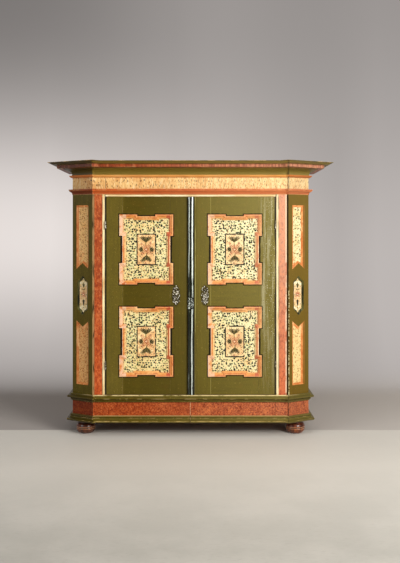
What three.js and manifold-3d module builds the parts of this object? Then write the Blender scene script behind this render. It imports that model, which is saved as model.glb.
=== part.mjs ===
// A painted pine cupboard with two doors, canted front corners, a wide cornice and turned bun feet.
//
// Millimetres, Z up, front towards -Y. The origin is on the floor, at the centre of the cupboard's
// own box. Every piece of wood and iron is a mesh of its own. The faces of neighbouring pieces stand
// a hair apart, as planed and glued boards do.

import * as THREE from 'three';
import { mergeVertices } from 'three/addons/utils/BufferGeometryUtils.js';
import Module from 'manifold-3d';

const wasm = await Module();
wasm.setup();

// Driving dimensions of the carcass, in plan
const bodyWidth = 1636;
const bodyDepth = 520;
const cantRun = 149;
const cantDepth = 86;
const prowProud = 10;
const prowReturnRun = 11;
const boardThickness = 26;
const backThickness = 16;
const fit = 0.3;

// Heights, from the floor up
const footHeight = 92;
const plinthHeight = 138;
const waistHeight = 49;
const doorSillGap = 2;
const doorHeight = 1351;
const doorHeadGap = 2;
const headRailVisibleHeight = 15;
const neckHeight = 37;
const friezeHeight = 80;
const coveHeight = 61;
const crownHeight = 41;

// How far each moulding stands out from the carcass
const baseProjection = 38;
const waistProjection = 35;
const neckProjection = 26;
const coveProjection = 59;
const crownProjection = 158;

// Boards of the cornice and the plinth
const friezeThickness = 18;
const plinthThickness = 22;
const baseMouldingHeight = 46;
const plinthBlockWidth = 136;
const plinthBlockLap = 2;
const plinthBlockHeight = 60;
const topBoardThickness = 20;

// Doors
const frontStileWidth = 75;
const doorThickness = 24;
const doorGap = 3;
const seamOffset = -20.5;
const hingeStileWidth = 114.5;
const panelFromCentre = 139.5;
const topRailHeight = 141;
const middleRailHeight = 194;
const bottomRailHeight = 143;
const panelRecess = 8;
const panelThickness = 9;
const panelGroove = 10;
const tenonThickness = 8;
const tenonLength = 45;
const tenonShoulder = 14;

// The eared mouldings round the door panels
const earMouldingWidth = 27;
const earMouldingLap = 21.5;
const earMouldingProud = 9;
const earLipThickness = 4.5;
const headNotchDepth = 12;
const headNotchWidth = 123;
const sideNotchDepth = 20;
const sideNotchHeight = 185;

// The bevel that runs round the door opening
const openingBevelWidth = 19;
const openingBevelDepth = 7;

// The moulded cover strip on the right-hand door
const stripWidth = 54;
const stripBase = 9;
const stripBeadRadius = 9;
const stripRollRadius = 11;

// Sunk panels and cartouches of the canted corners
const cornerPanelWidth = 107;
const cornerPanelHeightShare = 0.3264;
const cornerPanelNotch = 42;
const cornerPanelBevel = 15;
const cornerPanelDepth = 12;
const upperCornerPanelMargin = 109;
const lowerCornerPanelMargin = 63;
const cartoucheWidth = 90;
const cartoucheHeightShare = 0.2015;
const cartoucheBevel = 15;
const cartoucheDepth = 12;
const cartoucheDrop = 3.5;

// Inside
const shelfThickness = 20;
const shelfFront = 110;
const shelfCount = 3;
const housingDepth = 8;
const bottomBoardThickness = 22;
const doorStopRise = 8;
const doorStopThickness = 10;
const backPlankCount = 6;
const backGrooveWidth = 8;
const backGrooveDepth = 4;

// Turned feet
const footRadius = 66;
const footTenonRadius = 18;
const footTenonHeight = 30;
const footInset = 91;
const footSetback = 92;
const backFootSetback = 82;
const footSegments = 20;

// Hinges
const hingeRadius = 5.5;
const hingeLength = 50;
const hingePinRadius = 2.4;
const hingeBoreRadius = 2.8;
const hingeCap = 3;
const hingeStandoff = 6;
const hingeLeafThickness = 1;
const hingeLeafGap = 0.2;
const hingeLeafDepth = 26;
const upperHingeMargin = 192;
const lowerHingeMargin = 199;
const hingeSegments = 14;

// Lock, key plates and the bolt of the left-hand door
const keyPlateWidth = 51;
const keyPlateHeight = 133;
const keyPlateThickness = 2;
const keyPlateOffset = 99;
const keyPlateDrop = 0.5;
const keyHoleRadius = 5;
const keyHoleSlotWidth = 5;
const keyHoleSlotLength = 14;
const lockWidth = 118;
const lockHeight = 92;
const lockThickness = 24;
const lockEdgeMargin = 6;
const lockBoltHeight = 30;
const lockBoltThickness = 9;
const lockBoltLength = 88;
const lockBoltStandoff = 3;
const boltPlay = 0.6;
const doorBoltInset = 46;
const doorBoltWidth = 12;
const doorBoltThickness = 8;
const doorBoltLength = 215;
const doorBoltStandoff = 14;
const doorBoltRestGap = 5;
const doorBoltPlateWidth = 36;
const doorBoltPlateHeight = 120;
const doorBoltPlateDrop = 38;
const doorBoltGuideHeight = 16;
const doorBoltGuideWall = 5;
const doorBoltKnobRadius = 6;
const doorBoltKnobLength = 16;

// How finely curves are stepped, and how far a cutting shape overruns the wood it cuts
const curveSteps = 4;
const smallCurveSteps = 2;
const fineCurveSteps = 3;
const holeSteps = 8;
const overrun = 2;

// Moulding profiles from the bottom edge to the top edge, as shares of the projection and the
// height. Two numbers are a straight run to a point, four are a curve by way of a control point.
const baseProfileShares = [
  [0.58, 0], [0.98, 0.02, 1, 0.2], [1, 0.32], [0.92, 0.36], [0.45, 0.42, 0.4, 0.66],
  [0.26, 0.69], [0.4, 0.72, 0.4, 0.84], [0.38, 1, 0.12, 1],
];
const waistProfileShares = [
  [0.2, 0], [0.18, 0.1], [0.42, 0.14, 0.42, 0.26], [0.42, 0.38, 0.18, 0.4],
  [0.78, 0.44], [1, 0.46, 1, 0.62], [0.98, 0.72, 0.82, 0.74], [0.4, 0.78, 0.36, 0.94], [0.34, 1],
];
const neckProfileShares = [
  [0.08, 0], [0.14, 0.2], [0.2, 0.42, 0.5, 0.5], [0.86, 0.58, 0.9, 0.8], [1, 0.82], [1, 1],
];
const coveProfileShares = [
  [0.1, 0], [0.2, 0.02, 0.36, 0.16], [0.4, 0.26], [0.1, 0.28], [0.06, 0.42],
  [0.1, 0.86, 0.88, 0.94], [1, 0.95], [1, 1],
];
const crownProfileShares = [
  [0.6, 0], [0.63, 0.04], [0.63, 0.56], [0.74, 0.6], [0.84, 0.64, 0.86, 0.78],
  [0.88, 0.9, 0.98, 0.92], [1, 0.94], [1, 1],
];
const earProfileShares = [
  [0, 0.6], [0.02, 1, 0.16, 1], [0.3, 1, 0.36, 0.82], [0.42, 0.74],
];

// The foot, as shares of its radius and its height
const footProfileShares = [
  [0.62, 0], [0.82, 0.03, 0.93, 0.19], [1, 0.3, 1, 0.4], [0.96, 0.42], [0.96, 0.45],
  [1, 0.47], [1, 0.62, 0.87, 0.74], [0.74, 0.82], [0.8, 0.86], [0.8, 1],
];

// Half outlines from the bottom tip to the top tip, as shares of the half width and the height
const cartoucheHalfShares = [
  [0.34, 0.05], [0.42, 0.085], [0.8, 0.12], [1, 0.16], [1, 0.84], [0.8, 0.88], [0.42, 0.915],
  [0.34, 0.95], [0, 1],
];
const keyPlateHalfShares = [
  [0.32, 0.03, 0.26, 0.1], [0.66, 0.04, 0.86, 0.15], [1, 0.24, 0.7, 0.27],
  [0.6, 0.32, 0.74, 0.35], [1, 0.38, 1, 0.48], [0.98, 0.58, 0.7, 0.6],
  [0.58, 0.66, 0.8, 0.69], [1.02, 0.77, 0.78, 0.85], [0.52, 0.91, 0.34, 0.87], [0.26, 0.97, 0, 1],
];

// Piercings of a key plate: centre and radii, as shares of the half width and the height
const keyPlateSidePiercingShares = [
  [0.52, 0.17, 0.2, 0.035], [0.62, 0.45, 0.16, 0.06], [0.5, 0.765, 0.2, 0.05],
];
const keyPlateMiddlePiercingShares = [[0, 0.24, 0.17, 0.045], [0, 0.7, 0.16, 0.06]];
const keyHoleHeightShare = 0.46;

// Places worked out from the sizes
const halfBody = bodyWidth / 2;
const prowX = halfBody - cantRun;
const sideFront = cantDepth - prowProud;
const stileOuter = prowX - prowReturnRun;
const openingHalf = stileOuter - frontStileWidth;
const panelOpeningWidth = openingHalf - doorGap - hingeStileWidth - panelFromCentre;
const panelCentre = panelFromCentre + panelOpeningWidth / 2;
const plinthTop = footHeight + plinthHeight;
const waistTop = plinthTop + waistHeight;
const doorBottom = waistTop + doorSillGap;
const doorTop = doorBottom + doorHeight;
const openingTop = doorTop + doorHeadGap;
const neckBottom = openingTop + headRailVisibleHeight;
const bodyTop = neckBottom + neckHeight;
const friezeTop = bodyTop + friezeHeight;
const coveTop = friezeTop + coveHeight;
const crownTop = coveTop + crownHeight;
const hingeX = openingHalf - doorGap / 2;
const cornerPanelHeight = cornerPanelHeightShare * doorHeight;
const upperCornerPanelBottom = bodyTop - upperCornerPanelMargin - cornerPanelHeight;
const lowerCornerPanelBottom = waistTop + lowerCornerPanelMargin;
const cartoucheHeight = cartoucheHeightShare * doorHeight;
const betweenCornerPanels = (lowerCornerPanelBottom + cornerPanelHeight + upperCornerPanelBottom) / 2;
const cartoucheBottom = betweenCornerPanels - cartoucheDrop - cartoucheHeight / 2;
const backInside = bodyDepth - backThickness;
const interiorFloor = doorBottom + doorStopRise;
const halfInside = halfBody - boardThickness;

// Plan of the carcass: the left-hand outline from the back corner round to the front face
const backCorner = new THREE.Vector2(-halfBody, bodyDepth);
const sideCorner = new THREE.Vector2(-halfBody, sideFront);
const prowCorner = new THREE.Vector2(-prowX, -prowProud);
const returnCorner = new THREE.Vector2(-stileOuter, 0);
const leftOutline = [backCorner, sideCorner, prowCorner, returnCorner];
const cantDirection = prowCorner.clone().sub(sideCorner).normalize();
const cantNormal = new THREE.Vector2(cantDirection.y, -cantDirection.x);

// The mirror image of a plan point, and an outline carried on round the right-hand side
function mirrorPoint(point) {
  return new THREE.Vector2(-point.x, point.y);
}

function bothSides(points) {
  return [...points, ...points.map(mirrorPoint).reverse()];
}

// Paints: the colour of each finish, with its roughness and metalness
function finish(colour, roughness, metalness = 0) {
  return () => new THREE.MeshStandardMaterial({ color: colour, roughness, metalness });
}

const greenPaint = finish(0x5d5a1e, 0.5);
const redPaint = finish(0xb4491f, 0.5);
const creamPaint = finish(0xd9bf7e, 0.55);
const orangePaint = finish(0xd9763a, 0.5);
const blackGloss = finish(0x161c17, 0.22);
const footVarnish = finish(0x6e2a17, 0.28);
const rawPine = finish(0x9c774a, 0.8);
const iron = finish(0xa9a59a, 0.4, 1);

const cupboard = new THREE.Group();

function addPiece(name, geometry, paint) {
  const mesh = new THREE.Mesh(geometry, paint());
  mesh.name = name;
  cupboard.add(mesh);
}

// Closed geometry to a solid and back
function solidOf(geometry) {
  const plain = geometry.clone();
  plain.deleteAttribute('normal');
  plain.deleteAttribute('uv');
  const merged = mergeVertices(plain);
  return new wasm.Manifold(new wasm.Mesh({
    numProp: 3,
    vertProperties: new Float32Array(merged.attributes.position.array),
    triVerts: new Uint32Array(merged.index.array),
  }));
}

function geometryOf(solid) {
  const mesh = solid.getMesh();
  const geometry = new THREE.BufferGeometry();
  geometry.setAttribute('position', new THREE.BufferAttribute(new Float32Array(mesh.vertProperties), 3));
  geometry.setIndex(new THREE.BufferAttribute(new Uint32Array(mesh.triVerts), 1));
  return geometry;
}

function join(...geometries) {
  return geometryOf(geometries.map(solidOf).reduce((whole, next) => whole.add(next)));
}

function cut(geometry, ...cutters) {
  return geometryOf(cutters.map(solidOf).reduce((whole, next) => whole.subtract(next), solidOf(geometry)));
}

function common(first, second) {
  return geometryOf(solidOf(first).intersect(solidOf(second)));
}

// The mirror image of a piece, for the right-hand side
function mirrored(geometry) {
  const copy = geometry.clone();
  copy.scale(-1, 1, 1);
  const corners = copy.index.array;
  for (let i = 0; i < corners.length; i += 3) {
    [corners[i], corners[i + 1]] = [corners[i + 1], corners[i]];
  }
  return copy;
}

// A board between two corners
function board(low, high) {
  const size = [0, 1, 2].map((axis) => high[axis] - low[axis]);
  const middle = [0, 1, 2].map((axis) => (high[axis] + low[axis]) / 2);
  return new THREE.BoxGeometry(...size).translate(...middle);
}

// A board grown by a clearance on every side, to cut the housing that it fits in
function grown(low, high, clearance) {
  return board(low.map((value) => value - clearance), high.map((value) => value + clearance));
}

// A flat outline raised between two heights
function raised(points, bottom, top) {
  return new THREE.ExtrudeGeometry(new THREE.Shape(points), { depth: top - bottom, bevelEnabled: false })
    .translate(0, 0, bottom);
}

// The points of a run of straight and curved strokes given as shares of a width and a height
function strokes(start, shares, width, height, steps = curveSteps) {
  const path = new THREE.Path([new THREE.Vector2(start[0] * width, start[1] * height)]);
  path.moveTo(start[0] * width, start[1] * height);
  for (const share of shares) {
    const sized = share.map((value, i) => value * (i % 2 ? height : width));
    if (sized.length === 2) {
      path.lineTo(...sized);
    } else {
      path.quadraticCurveTo(...sized);
    }
  }
  return path.getPoints(steps);
}

// A solid through a row of matching rings. A closed row joins its last ring to its first, and an
// open one gets a flat cap at each end, cut up from the flat outline of the ring.
function ringSolid(rings, flat, closed) {
  const count = flat.length;
  const positions = rings.flat().flatMap((point) => [point.x, point.y, point.z]);
  const index = [];
  const rows = closed ? rings.length : rings.length - 1;
  for (let row = 0; row < rows; row += 1) {
    const next = (row + 1) % rings.length;
    for (let i = 0; i < count; i += 1) {
      const j = (i + 1) % count;
      index.push(row * count + i, row * count + j, next * count + j);
      index.push(row * count + i, next * count + j, next * count + i);
    }
  }
  if (!closed) {
    const last = (rings.length - 1) * count;
    const winding = THREE.ShapeUtils.area(flat) > 0;
    for (const face of THREE.ShapeUtils.triangulateShape(flat, [])) {
      const turn = (THREE.ShapeUtils.area(face.map((i) => flat[i])) > 0) === winding;
      const [a, b, c] = turn ? face : [face[0], face[2], face[1]];
      index.push(a, c, b, last + a, last + b, last + c);
    }
  }
  const geometry = new THREE.BufferGeometry();
  geometry.setAttribute('position', new THREE.Float32BufferAttribute(positions, 3));
  geometry.setIndex(index);
  return facingOut(geometry);
}

// Turns every face round if the solid comes out inside out
function facingOut(geometry) {
  const place = geometry.attributes.position;
  const corners = geometry.index.array;
  const [a, b, c] = [new THREE.Vector3(), new THREE.Vector3(), new THREE.Vector3()];
  let volume = 0;
  for (let i = 0; i < corners.length; i += 3) {
    a.fromBufferAttribute(place, corners[i]);
    b.fromBufferAttribute(place, corners[i + 1]);
    c.fromBufferAttribute(place, corners[i + 2]);
    volume += a.dot(b.cross(c));
  }
  if (volume < 0) {
    for (let i = 0; i < corners.length; i += 3) {
      [corners[i], corners[i + 1]] = [corners[i + 1], corners[i]];
    }
  }
  return geometry;
}

// Outward normals of an outline's sides, and the direction in which each corner moves when the
// outline is offset, so that neighbouring sides meet in a mitre
function mitres(points, closed) {
  const count = points.length;
  const sides = points.map((point, i) => {
    const along = points[(i + 1) % count].clone().sub(point).normalize();
    return new THREE.Vector2(along.y, -along.x);
  });
  return points.map((point, i) => {
    const before = sides[(i + count - 1) % count];
    const after = sides[i];
    if (!closed && i === 0) {
      return after.clone();
    }
    if (!closed && i === count - 1) {
      return before.clone();
    }
    return before.clone().add(after).divideScalar(1 + before.dot(after));
  });
}

function offsetOutline(points, distance, closed) {
  const moves = mitres(points, closed);
  return points.map((point, i) => point.clone().addScaledVector(moves[i], distance));
}

// A moulding run along a path with a mitre at every turn. The profile's points are the distance
// out from the path and the height, and place() puts a path point and a height in space.
function mouldingRun(path, profile, closed, place) {
  const moves = mitres(path, closed);
  const rings = path.map((point, i) => profile.map((edge) => {
    const moved = point.clone().addScaledVector(moves[i], edge.x);
    return place(moved, edge.y);
  }));
  return ringSolid(rings, profile, closed);
}

function upright(point, height) {
  return new THREE.Vector3(point.x, point.y, height);
}

// A moulding's profile standing between two heights, with its flat back a given distance out
function standingProfile(shares, projection, bottom, top, back) {
  const face = strokes([0, 0], shares, projection, top - bottom).slice(1);
  const outline = face.map((point) => new THREE.Vector2(point.x, point.y + bottom));
  return [new THREE.Vector2(back, bottom), ...outline, new THREE.Vector2(back, top)];
}

function rectangleProfile(inner, outer, bottom, top) {
  return [[inner, bottom], [outer, bottom], [outer, top], [inner, top]]
    .map(([x, y]) => new THREE.Vector2(x, y));
}

// Feet

function foot(x, y) {
  const turned = strokes([0, 0], footProfileShares, footRadius, footHeight, fineCurveSteps);
  const profile = [
    ...turned,
    new THREE.Vector2(footTenonRadius, footHeight),
    new THREE.Vector2(footTenonRadius, footHeight + footTenonHeight),
    new THREE.Vector2(0, footHeight + footTenonHeight),
  ];
  return new THREE.LatheGeometry(profile, footSegments).rotateX(Math.PI / 2).translate(x, y, 0);
}

function closedLathe(profile, segments, x, y) {
  const turned = new THREE.LatheGeometry(profile, segments).rotateX(Math.PI / 2).translate(x, y, 0);
  return geometryOf(solidOf(facingOut(turned)));
}

const footX = halfBody - footInset;
const footPlaces = {
  front_left: [-footX, footSetback],
  front_right: [footX, footSetback],
  back_left: [-footX, bodyDepth - backFootSetback],
  back_right: [footX, bodyDepth - backFootSetback],
};

function addFeet() {
  for (const [corner, [x, y]] of Object.entries(footPlaces)) {
    addPiece(`foot_${corner}`, facingOut(foot(x, y)), footVarnish);
  }
}

// Plinth: two halves that part in the middle, each a frame of mitred boards with a glued block in
// each corner to take the tenon of a foot

function footSocket(x, y) {
  const height = footTenonHeight + fit + overrun;
  return new THREE.CylinderGeometry(footTenonRadius + fit, footTenonRadius + fit, height, footSegments)
    .rotateX(Math.PI / 2).translate(x, y, footHeight - overrun + height / 2);
}

function plinthBlock(x, y) {
  const inside = offsetOutline([...leftOutline, new THREE.Vector2(0, 0), new THREE.Vector2(0, bodyDepth)],
    -(plinthThickness - plinthBlockLap), true);
  const half = plinthBlockWidth / 2;
  const low = [x - half, y - half, footHeight + fit];
  const high = [x + half, y + half, footHeight + fit + plinthBlockHeight];
  return common(board(low, high), raised(inside, low[2] - overrun, high[2] + overrun));
}

function plinthHalf() {
  const path = [new THREE.Vector2(-fit / 2, bodyDepth), ...leftOutline, new THREE.Vector2(-fit / 2, 0)];
  const profile = rectangleProfile(-plinthThickness, 0, footHeight + fit, plinthTop);
  const frame = mouldingRun(path, profile, false, upright);
  const places = [footPlaces.front_left, footPlaces.back_left];
  const blocks = places.map(([x, y]) => plinthBlock(x, y));
  return cut(join(frame, ...blocks), ...places.map(([x, y]) => footSocket(x, y)));
}

function baseMouldingHalf() {
  const path = [...leftOutline, new THREE.Vector2(-fit / 2, 0)];
  const profile = standingProfile(baseProfileShares, baseProjection, footHeight + fit,
    footHeight + baseMouldingHeight, fit);
  return mouldingRun(path, profile, false, upright);
}

function addPlinth() {
  addPiece('plinth_left', plinthHalf(), redPaint);
  addPiece('plinth_right', mirrored(plinthHalf()), redPaint);
  addPiece('base_moulding_left', baseMouldingHalf(), greenPaint);
  addPiece('base_moulding_right', mirrored(baseMouldingHalf()), greenPaint);
}

// Carcass: side panels, canted corner posts, front stiles, head rail, boards and back

// Where the inner face of the canted board meets the inner face of the front frame
function cantInnerFront(thickness) {
  const inner = prowCorner.clone().addScaledVector(cantNormal, -thickness);
  const run = (thickness - inner.y) / -cantDirection.y;
  return inner.addScaledVector(cantDirection, -run);
}

const sideMitre = mitres(leftOutline, false)[1];
const sideCornerInner = sideCorner.clone().addScaledVector(sideMitre, -boardThickness);

function sidePanel() {
  const shift = new THREE.Vector2(0, fit);
  const outline = [
    sideCorner.clone().add(shift),
    sideCornerInner.clone().add(shift),
    new THREE.Vector2(-halfInside, bodyDepth),
    backCorner,
  ];
  const panel = raised(outline, plinthTop + fit, bodyTop);
  const housings = [...shelfLevels, interiorFloor - bottomBoardThickness].map((level) => {
    const thickness = level < shelfLevels[0] ? bottomBoardThickness : shelfThickness;
    const low = [-halfInside - housingDepth, shelfFront - fit, level - fit];
    const high = [-halfInside + overrun, bodyDepth - backThickness, level + thickness + fit];
    return board(low, high);
  });
  return cut(panel, ...housings);
}

function cornerPost() {
  const outline = [
    sideCorner,
    prowCorner,
    returnCorner,
    new THREE.Vector2(-stileOuter, boardThickness),
    cantInnerFront(boardThickness),
    sideCornerInner,
  ];
  const post = raised(outline, plinthTop + fit, bodyTop);
  const upper = notchedOutline(cornerPanelWidth, cornerPanelHeight, cornerPanelNotch);
  const lower = upper.map((point) => new THREE.Vector2(-point.x, cornerPanelHeight - point.y));
  const cartouche = fullOutline(cartoucheHalfShares, cartoucheWidth, cartoucheHeight);
  return cut(
    post,
    pocket(upper, upperCornerPanelBottom, cornerPanelBevel, cornerPanelDepth),
    pocket(lower, lowerCornerPanelBottom, cornerPanelBevel, cornerPanelDepth),
    pocket(cartouche, cartoucheBottom, cartoucheBevel, cartoucheDepth),
  );
}

// A rectangle with a V cut up into its bottom edge
function notchedOutline(width, height, notch) {
  const half = width / 2;
  return [[-half, 0], [0, notch], [half, 0], [half, height], [-half, height]]
    .map(([x, y]) => new THREE.Vector2(x, y));
}

// An outline from its half, which runs from the bottom tip to the top tip
function fullOutline(shares, width, height, steps = curveSteps) {
  const half = strokes([0, 0], shares, width / 2, height, steps);
  const back = half.slice(1, -1).map(mirrorPoint).reverse();
  return [...half, ...back];
}

// A sunk field with bevelled borders, cut into the face of the canted corner
function pocket(outline, bottom, bevel, depth) {
  const middle = sideCorner.clone().add(prowCorner).multiplyScalar(1 / 2);
  const place = (point, sunk) => {
    const spot = middle.clone().addScaledVector(cantDirection, point.x).addScaledVector(cantNormal, -sunk);
    return new THREE.Vector3(spot.x, spot.y, point.y + bottom);
  };
  const inner = offsetOutline(outline, -bevel, true);
  const rings = [[outline, -overrun], [outline, 0], [inner, depth]]
    .map(([ring, sunk]) => ring.map((point) => place(point, sunk)));
  return ringSolid(rings, outline, false);
}

function frontStile() {
  const outline = [
    new THREE.Vector2(-stileOuter + fit, 0),
    new THREE.Vector2(-openingHalf - openingBevelWidth, 0),
    new THREE.Vector2(-openingHalf, openingBevelDepth),
    new THREE.Vector2(-openingHalf, boardThickness),
    new THREE.Vector2(-stileOuter + fit, boardThickness),
  ];
  return raised(outline, plinthTop + fit, bodyTop);
}

// The rail over the doors, with the same bevel and a rebate that the doors close against
function headRail() {
  const stopBack = boardThickness + doorStopThickness;
  const section = [
    [0, neckBottom],
    [0, bodyTop],
    [stopBack, bodyTop],
    [stopBack, openingTop - doorStopRise],
    [boardThickness, openingTop - doorStopRise],
    [boardThickness, openingTop],
    [openingBevelDepth, openingTop],
  ].map(([y, z]) => new THREE.Vector2(y, z));
  const left = -openingHalf + fit;
  const rings = [left, -left].map((x) => section.map((point) => new THREE.Vector3(x, point.x, point.y)));
  return ringSolid(rings, section, false);
}

// The floor of the cupboard: it runs out under the doors as a sill, with a step for them to close on
function bottomBoard() {
  const frontInside = cantInnerFront(boardThickness);
  const corner = sideCornerInner.clone().add(new THREE.Vector2(fit, 0));
  const plan = bothSides([
    new THREE.Vector2(-halfInside + fit, backInside - fit),
    corner,
    new THREE.Vector2(frontInside.x + fit, boardThickness + fit),
  ]);
  const low = interiorFloor - bottomBoardThickness;
  const floor = raised(plan, low, interiorFloor);
  const sill = board([-openingHalf + fit, fit, low],
    [openingHalf - fit, boardThickness + 2 * fit, waistTop]);
  const housed = halfInside + housingDepth - fit;
  const ends = board([-housed, shelfFront, low], [housed, backInside - fit, interiorFloor]);
  return join(floor, sill, ends);
}

function shelf(level) {
  const housed = halfInside + housingDepth - fit;
  return board([-housed, shelfFront, level], [housed, backInside - fit, level + shelfThickness]);
}

function shelfHeights() {
  const space = (bodyTop - interiorFloor - shelfCount * shelfThickness) / (shelfCount + 1);
  return Array.from({ length: shelfCount }, (_, i) => {
    return interiorFloor + (i + 1) * space + i * shelfThickness;
  });
}

// The back is made of upright planks with a groove worked along each joint
function backPanel() {
  const left = -halfInside + fit;
  const plank = -2 * left / backPlankCount;
  const outer = [];
  for (let i = 1; i < backPlankCount; i += 1) {
    const x = left + i * plank;
    outer.push(
      new THREE.Vector2(x - backGrooveWidth / 2, bodyDepth),
      new THREE.Vector2(x, bodyDepth - backGrooveDepth),
      new THREE.Vector2(x + backGrooveWidth / 2, bodyDepth),
    );
  }
  const outline = [
    new THREE.Vector2(-left, bodyDepth),
    new THREE.Vector2(-left, backInside),
    new THREE.Vector2(left, backInside),
    new THREE.Vector2(left, bodyDepth),
    ...outer,
  ];
  return raised(outline, plinthTop + fit, bodyTop);
}

function topBoard() {
  const inside = offsetOutline(bothSides(leftOutline), -(friezeThickness + fit), false);
  return raised(inside, bodyTop + fit, bodyTop + fit + topBoardThickness);
}

const shelfLevels = shelfHeights();

function addCarcass() {
  addPiece('side_panel_left', sidePanel(), greenPaint);
  addPiece('side_panel_right', mirrored(sidePanel()), greenPaint);
  addPiece('corner_post_left', cornerPost(), greenPaint);
  addPiece('corner_post_right', mirrored(cornerPost()), greenPaint);
  addPiece('front_stile_left', frontStile(), redPaint);
  addPiece('front_stile_right', mirrored(geometryOf(solidOf(frontStile()))), redPaint);
  addPiece('head_rail', headRail(), creamPaint);
  addPiece('bottom_board', bottomBoard(), rawPine);
  shelfLevels.forEach((level, i) => addPiece(`shelf_${i + 1}`, shelf(level), rawPine));
  addPiece('back_panel', backPanel(), rawPine);
  addPiece('top_board', topBoard(), rawPine);
}

// Mouldings that break round the front corners of the carcass, and the cornice

function addMouldings() {
  const outline = bothSides(leftOutline);
  const runs = {
    waist_moulding: [waistProfileShares, waistProjection, plinthTop + fit, waistTop, fit, greenPaint],
    neck_moulding: [neckProfileShares, neckProjection, neckBottom, bodyTop, fit, redPaint],
    cornice_cove: [coveProfileShares, coveProjection, friezeTop, coveTop - fit, fit, greenPaint],
    cornice_crown: [crownProfileShares, crownProjection, coveTop, crownTop, -friezeThickness, greenPaint],
  };
  for (const [name, [shares, projection, bottom, top, back, paint]] of Object.entries(runs)) {
    const profile = standingProfile(shares, projection, bottom, top, back);
    addPiece(name, mouldingRun(outline, profile, false, upright), paint);
  }
  const boards = rectangleProfile(-friezeThickness, 0, bodyTop + fit, coveTop - fit);
  addPiece('frieze', mouldingRun(outline, boards, false, upright), creamPaint);
}

// Doors. Each is drawn as the left-hand door, with its meeting edge at a given place, and the
// right-hand one is mirrored.

const panelHeight = (doorHeight - topRailHeight - middleRailHeight - bottomRailHeight) / 2;
const lowerPanelBottom = doorBottom + bottomRailHeight;
const upperPanelBottom = lowerPanelBottom + panelHeight + middleRailHeight;
const panelLeft = -panelCentre - panelOpeningWidth / 2;
const panelRight = -panelCentre + panelOpeningWidth / 2;
const panelBottoms = { lower: lowerPanelBottom, upper: upperPanelBottom };
const keyPlateCentreHeight = upperPanelBottom - middleRailHeight / 2 - keyPlateDrop;
const rails = {
  bottom: [doorBottom, bottomRailHeight],
  middle: [lowerPanelBottom + panelHeight, middleRailHeight],
  top: [doorTop - topRailHeight, topRailHeight],
};
const tenonFront = (doorThickness - tenonThickness) / 2;

function panelCorners(bottom) {
  return [
    [panelLeft - panelGroove, panelRecess, bottom - panelGroove],
    [panelRight + panelGroove, panelRecess + panelThickness, bottom + panelHeight + panelGroove],
  ];
}

function tenonCorners(bottom, height, edge, direction) {
  const ends = [edge, edge + direction * tenonLength].sort((a, b) => a - b);
  return [
    [ends[0], tenonFront, bottom + tenonShoulder],
    [ends[1], tenonFront + tenonThickness, bottom + height - tenonShoulder],
  ];
}

function panelGrooves() {
  return Object.values(panelBottoms).map((bottom) => grown(...panelCorners(bottom), fit));
}

function doorStile(left, right, railEdge, direction) {
  const stile = board([left, 0, doorBottom], [right, doorThickness, doorTop]);
  const mortises = Object.values(rails).map(([bottom, height]) => {
    return grown(...tenonCorners(bottom, height, railEdge, direction), fit);
  });
  return cut(stile, ...mortises, ...panelGrooves());
}

function doorRail(bottom, height) {
  const rail = board([panelLeft + fit, 0, bottom], [panelRight - fit, doorThickness, bottom + height]);
  const tenons = [[panelLeft, -1], [panelRight, 1]].map(([edge, direction]) => {
    const [low, high] = tenonCorners(bottom, height, edge, direction);
    return board([Math.min(low[0], edge - direction), low[1], low[2]],
      [Math.max(high[0], edge - direction), high[1], high[2]]);
  });
  return cut(join(rail, ...tenons), ...panelGrooves());
}

// The eared outline of a panel moulding: a rectangle that steps in over the middle of each side
function earedOutline(bottom) {
  const w = panelOpeningWidth / 2 + earMouldingLap;
  const h = panelHeight / 2 + earMouldingLap;
  const head = headNotchWidth / 2;
  const side = sideNotchHeight / 2;
  const lowHalf = [
    [-w + sideNotchDepth, -side], [-w, -side], [-w, -h], [-head, -h], [-head, -h + headNotchDepth],
    [head, -h + headNotchDepth], [head, -h], [w, -h], [w, -side], [w - sideNotchDepth, -side],
  ];
  const highHalf = lowHalf.map(([x, z]) => [-x, -z]);
  const middle = bottom + panelHeight / 2;
  return [...lowHalf, ...highHalf].map(([x, z]) => new THREE.Vector2(x - panelCentre, z + middle));
}

// The moulding's section: it lies on the frame with its outer edge, slopes in, and turns down as a
// lip on to the sunk panel
function earedMoulding(bottom) {
  const start = [0, fit / earMouldingProud];
  const face = strokes(start, earProfileShares, earMouldingWidth, earMouldingProud, smallCurveSteps);
  const lip = -panelRecess + fit;
  const section = [
    ...face,
    new THREE.Vector2(earMouldingWidth, lip + openingBevelDepth / 2),
    new THREE.Vector2(earMouldingWidth, lip),
    new THREE.Vector2(earMouldingWidth - earLipThickness, lip),
    new THREE.Vector2(earMouldingWidth - earLipThickness, fit),
  ];
  const inward = section.map((point) => new THREE.Vector2(-point.x, point.y));
  const onDoor = (point, proud) => new THREE.Vector3(point.x, -proud, point.y);
  return mouldingRun(earedOutline(bottom), inward, true, onDoor);
}

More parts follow.
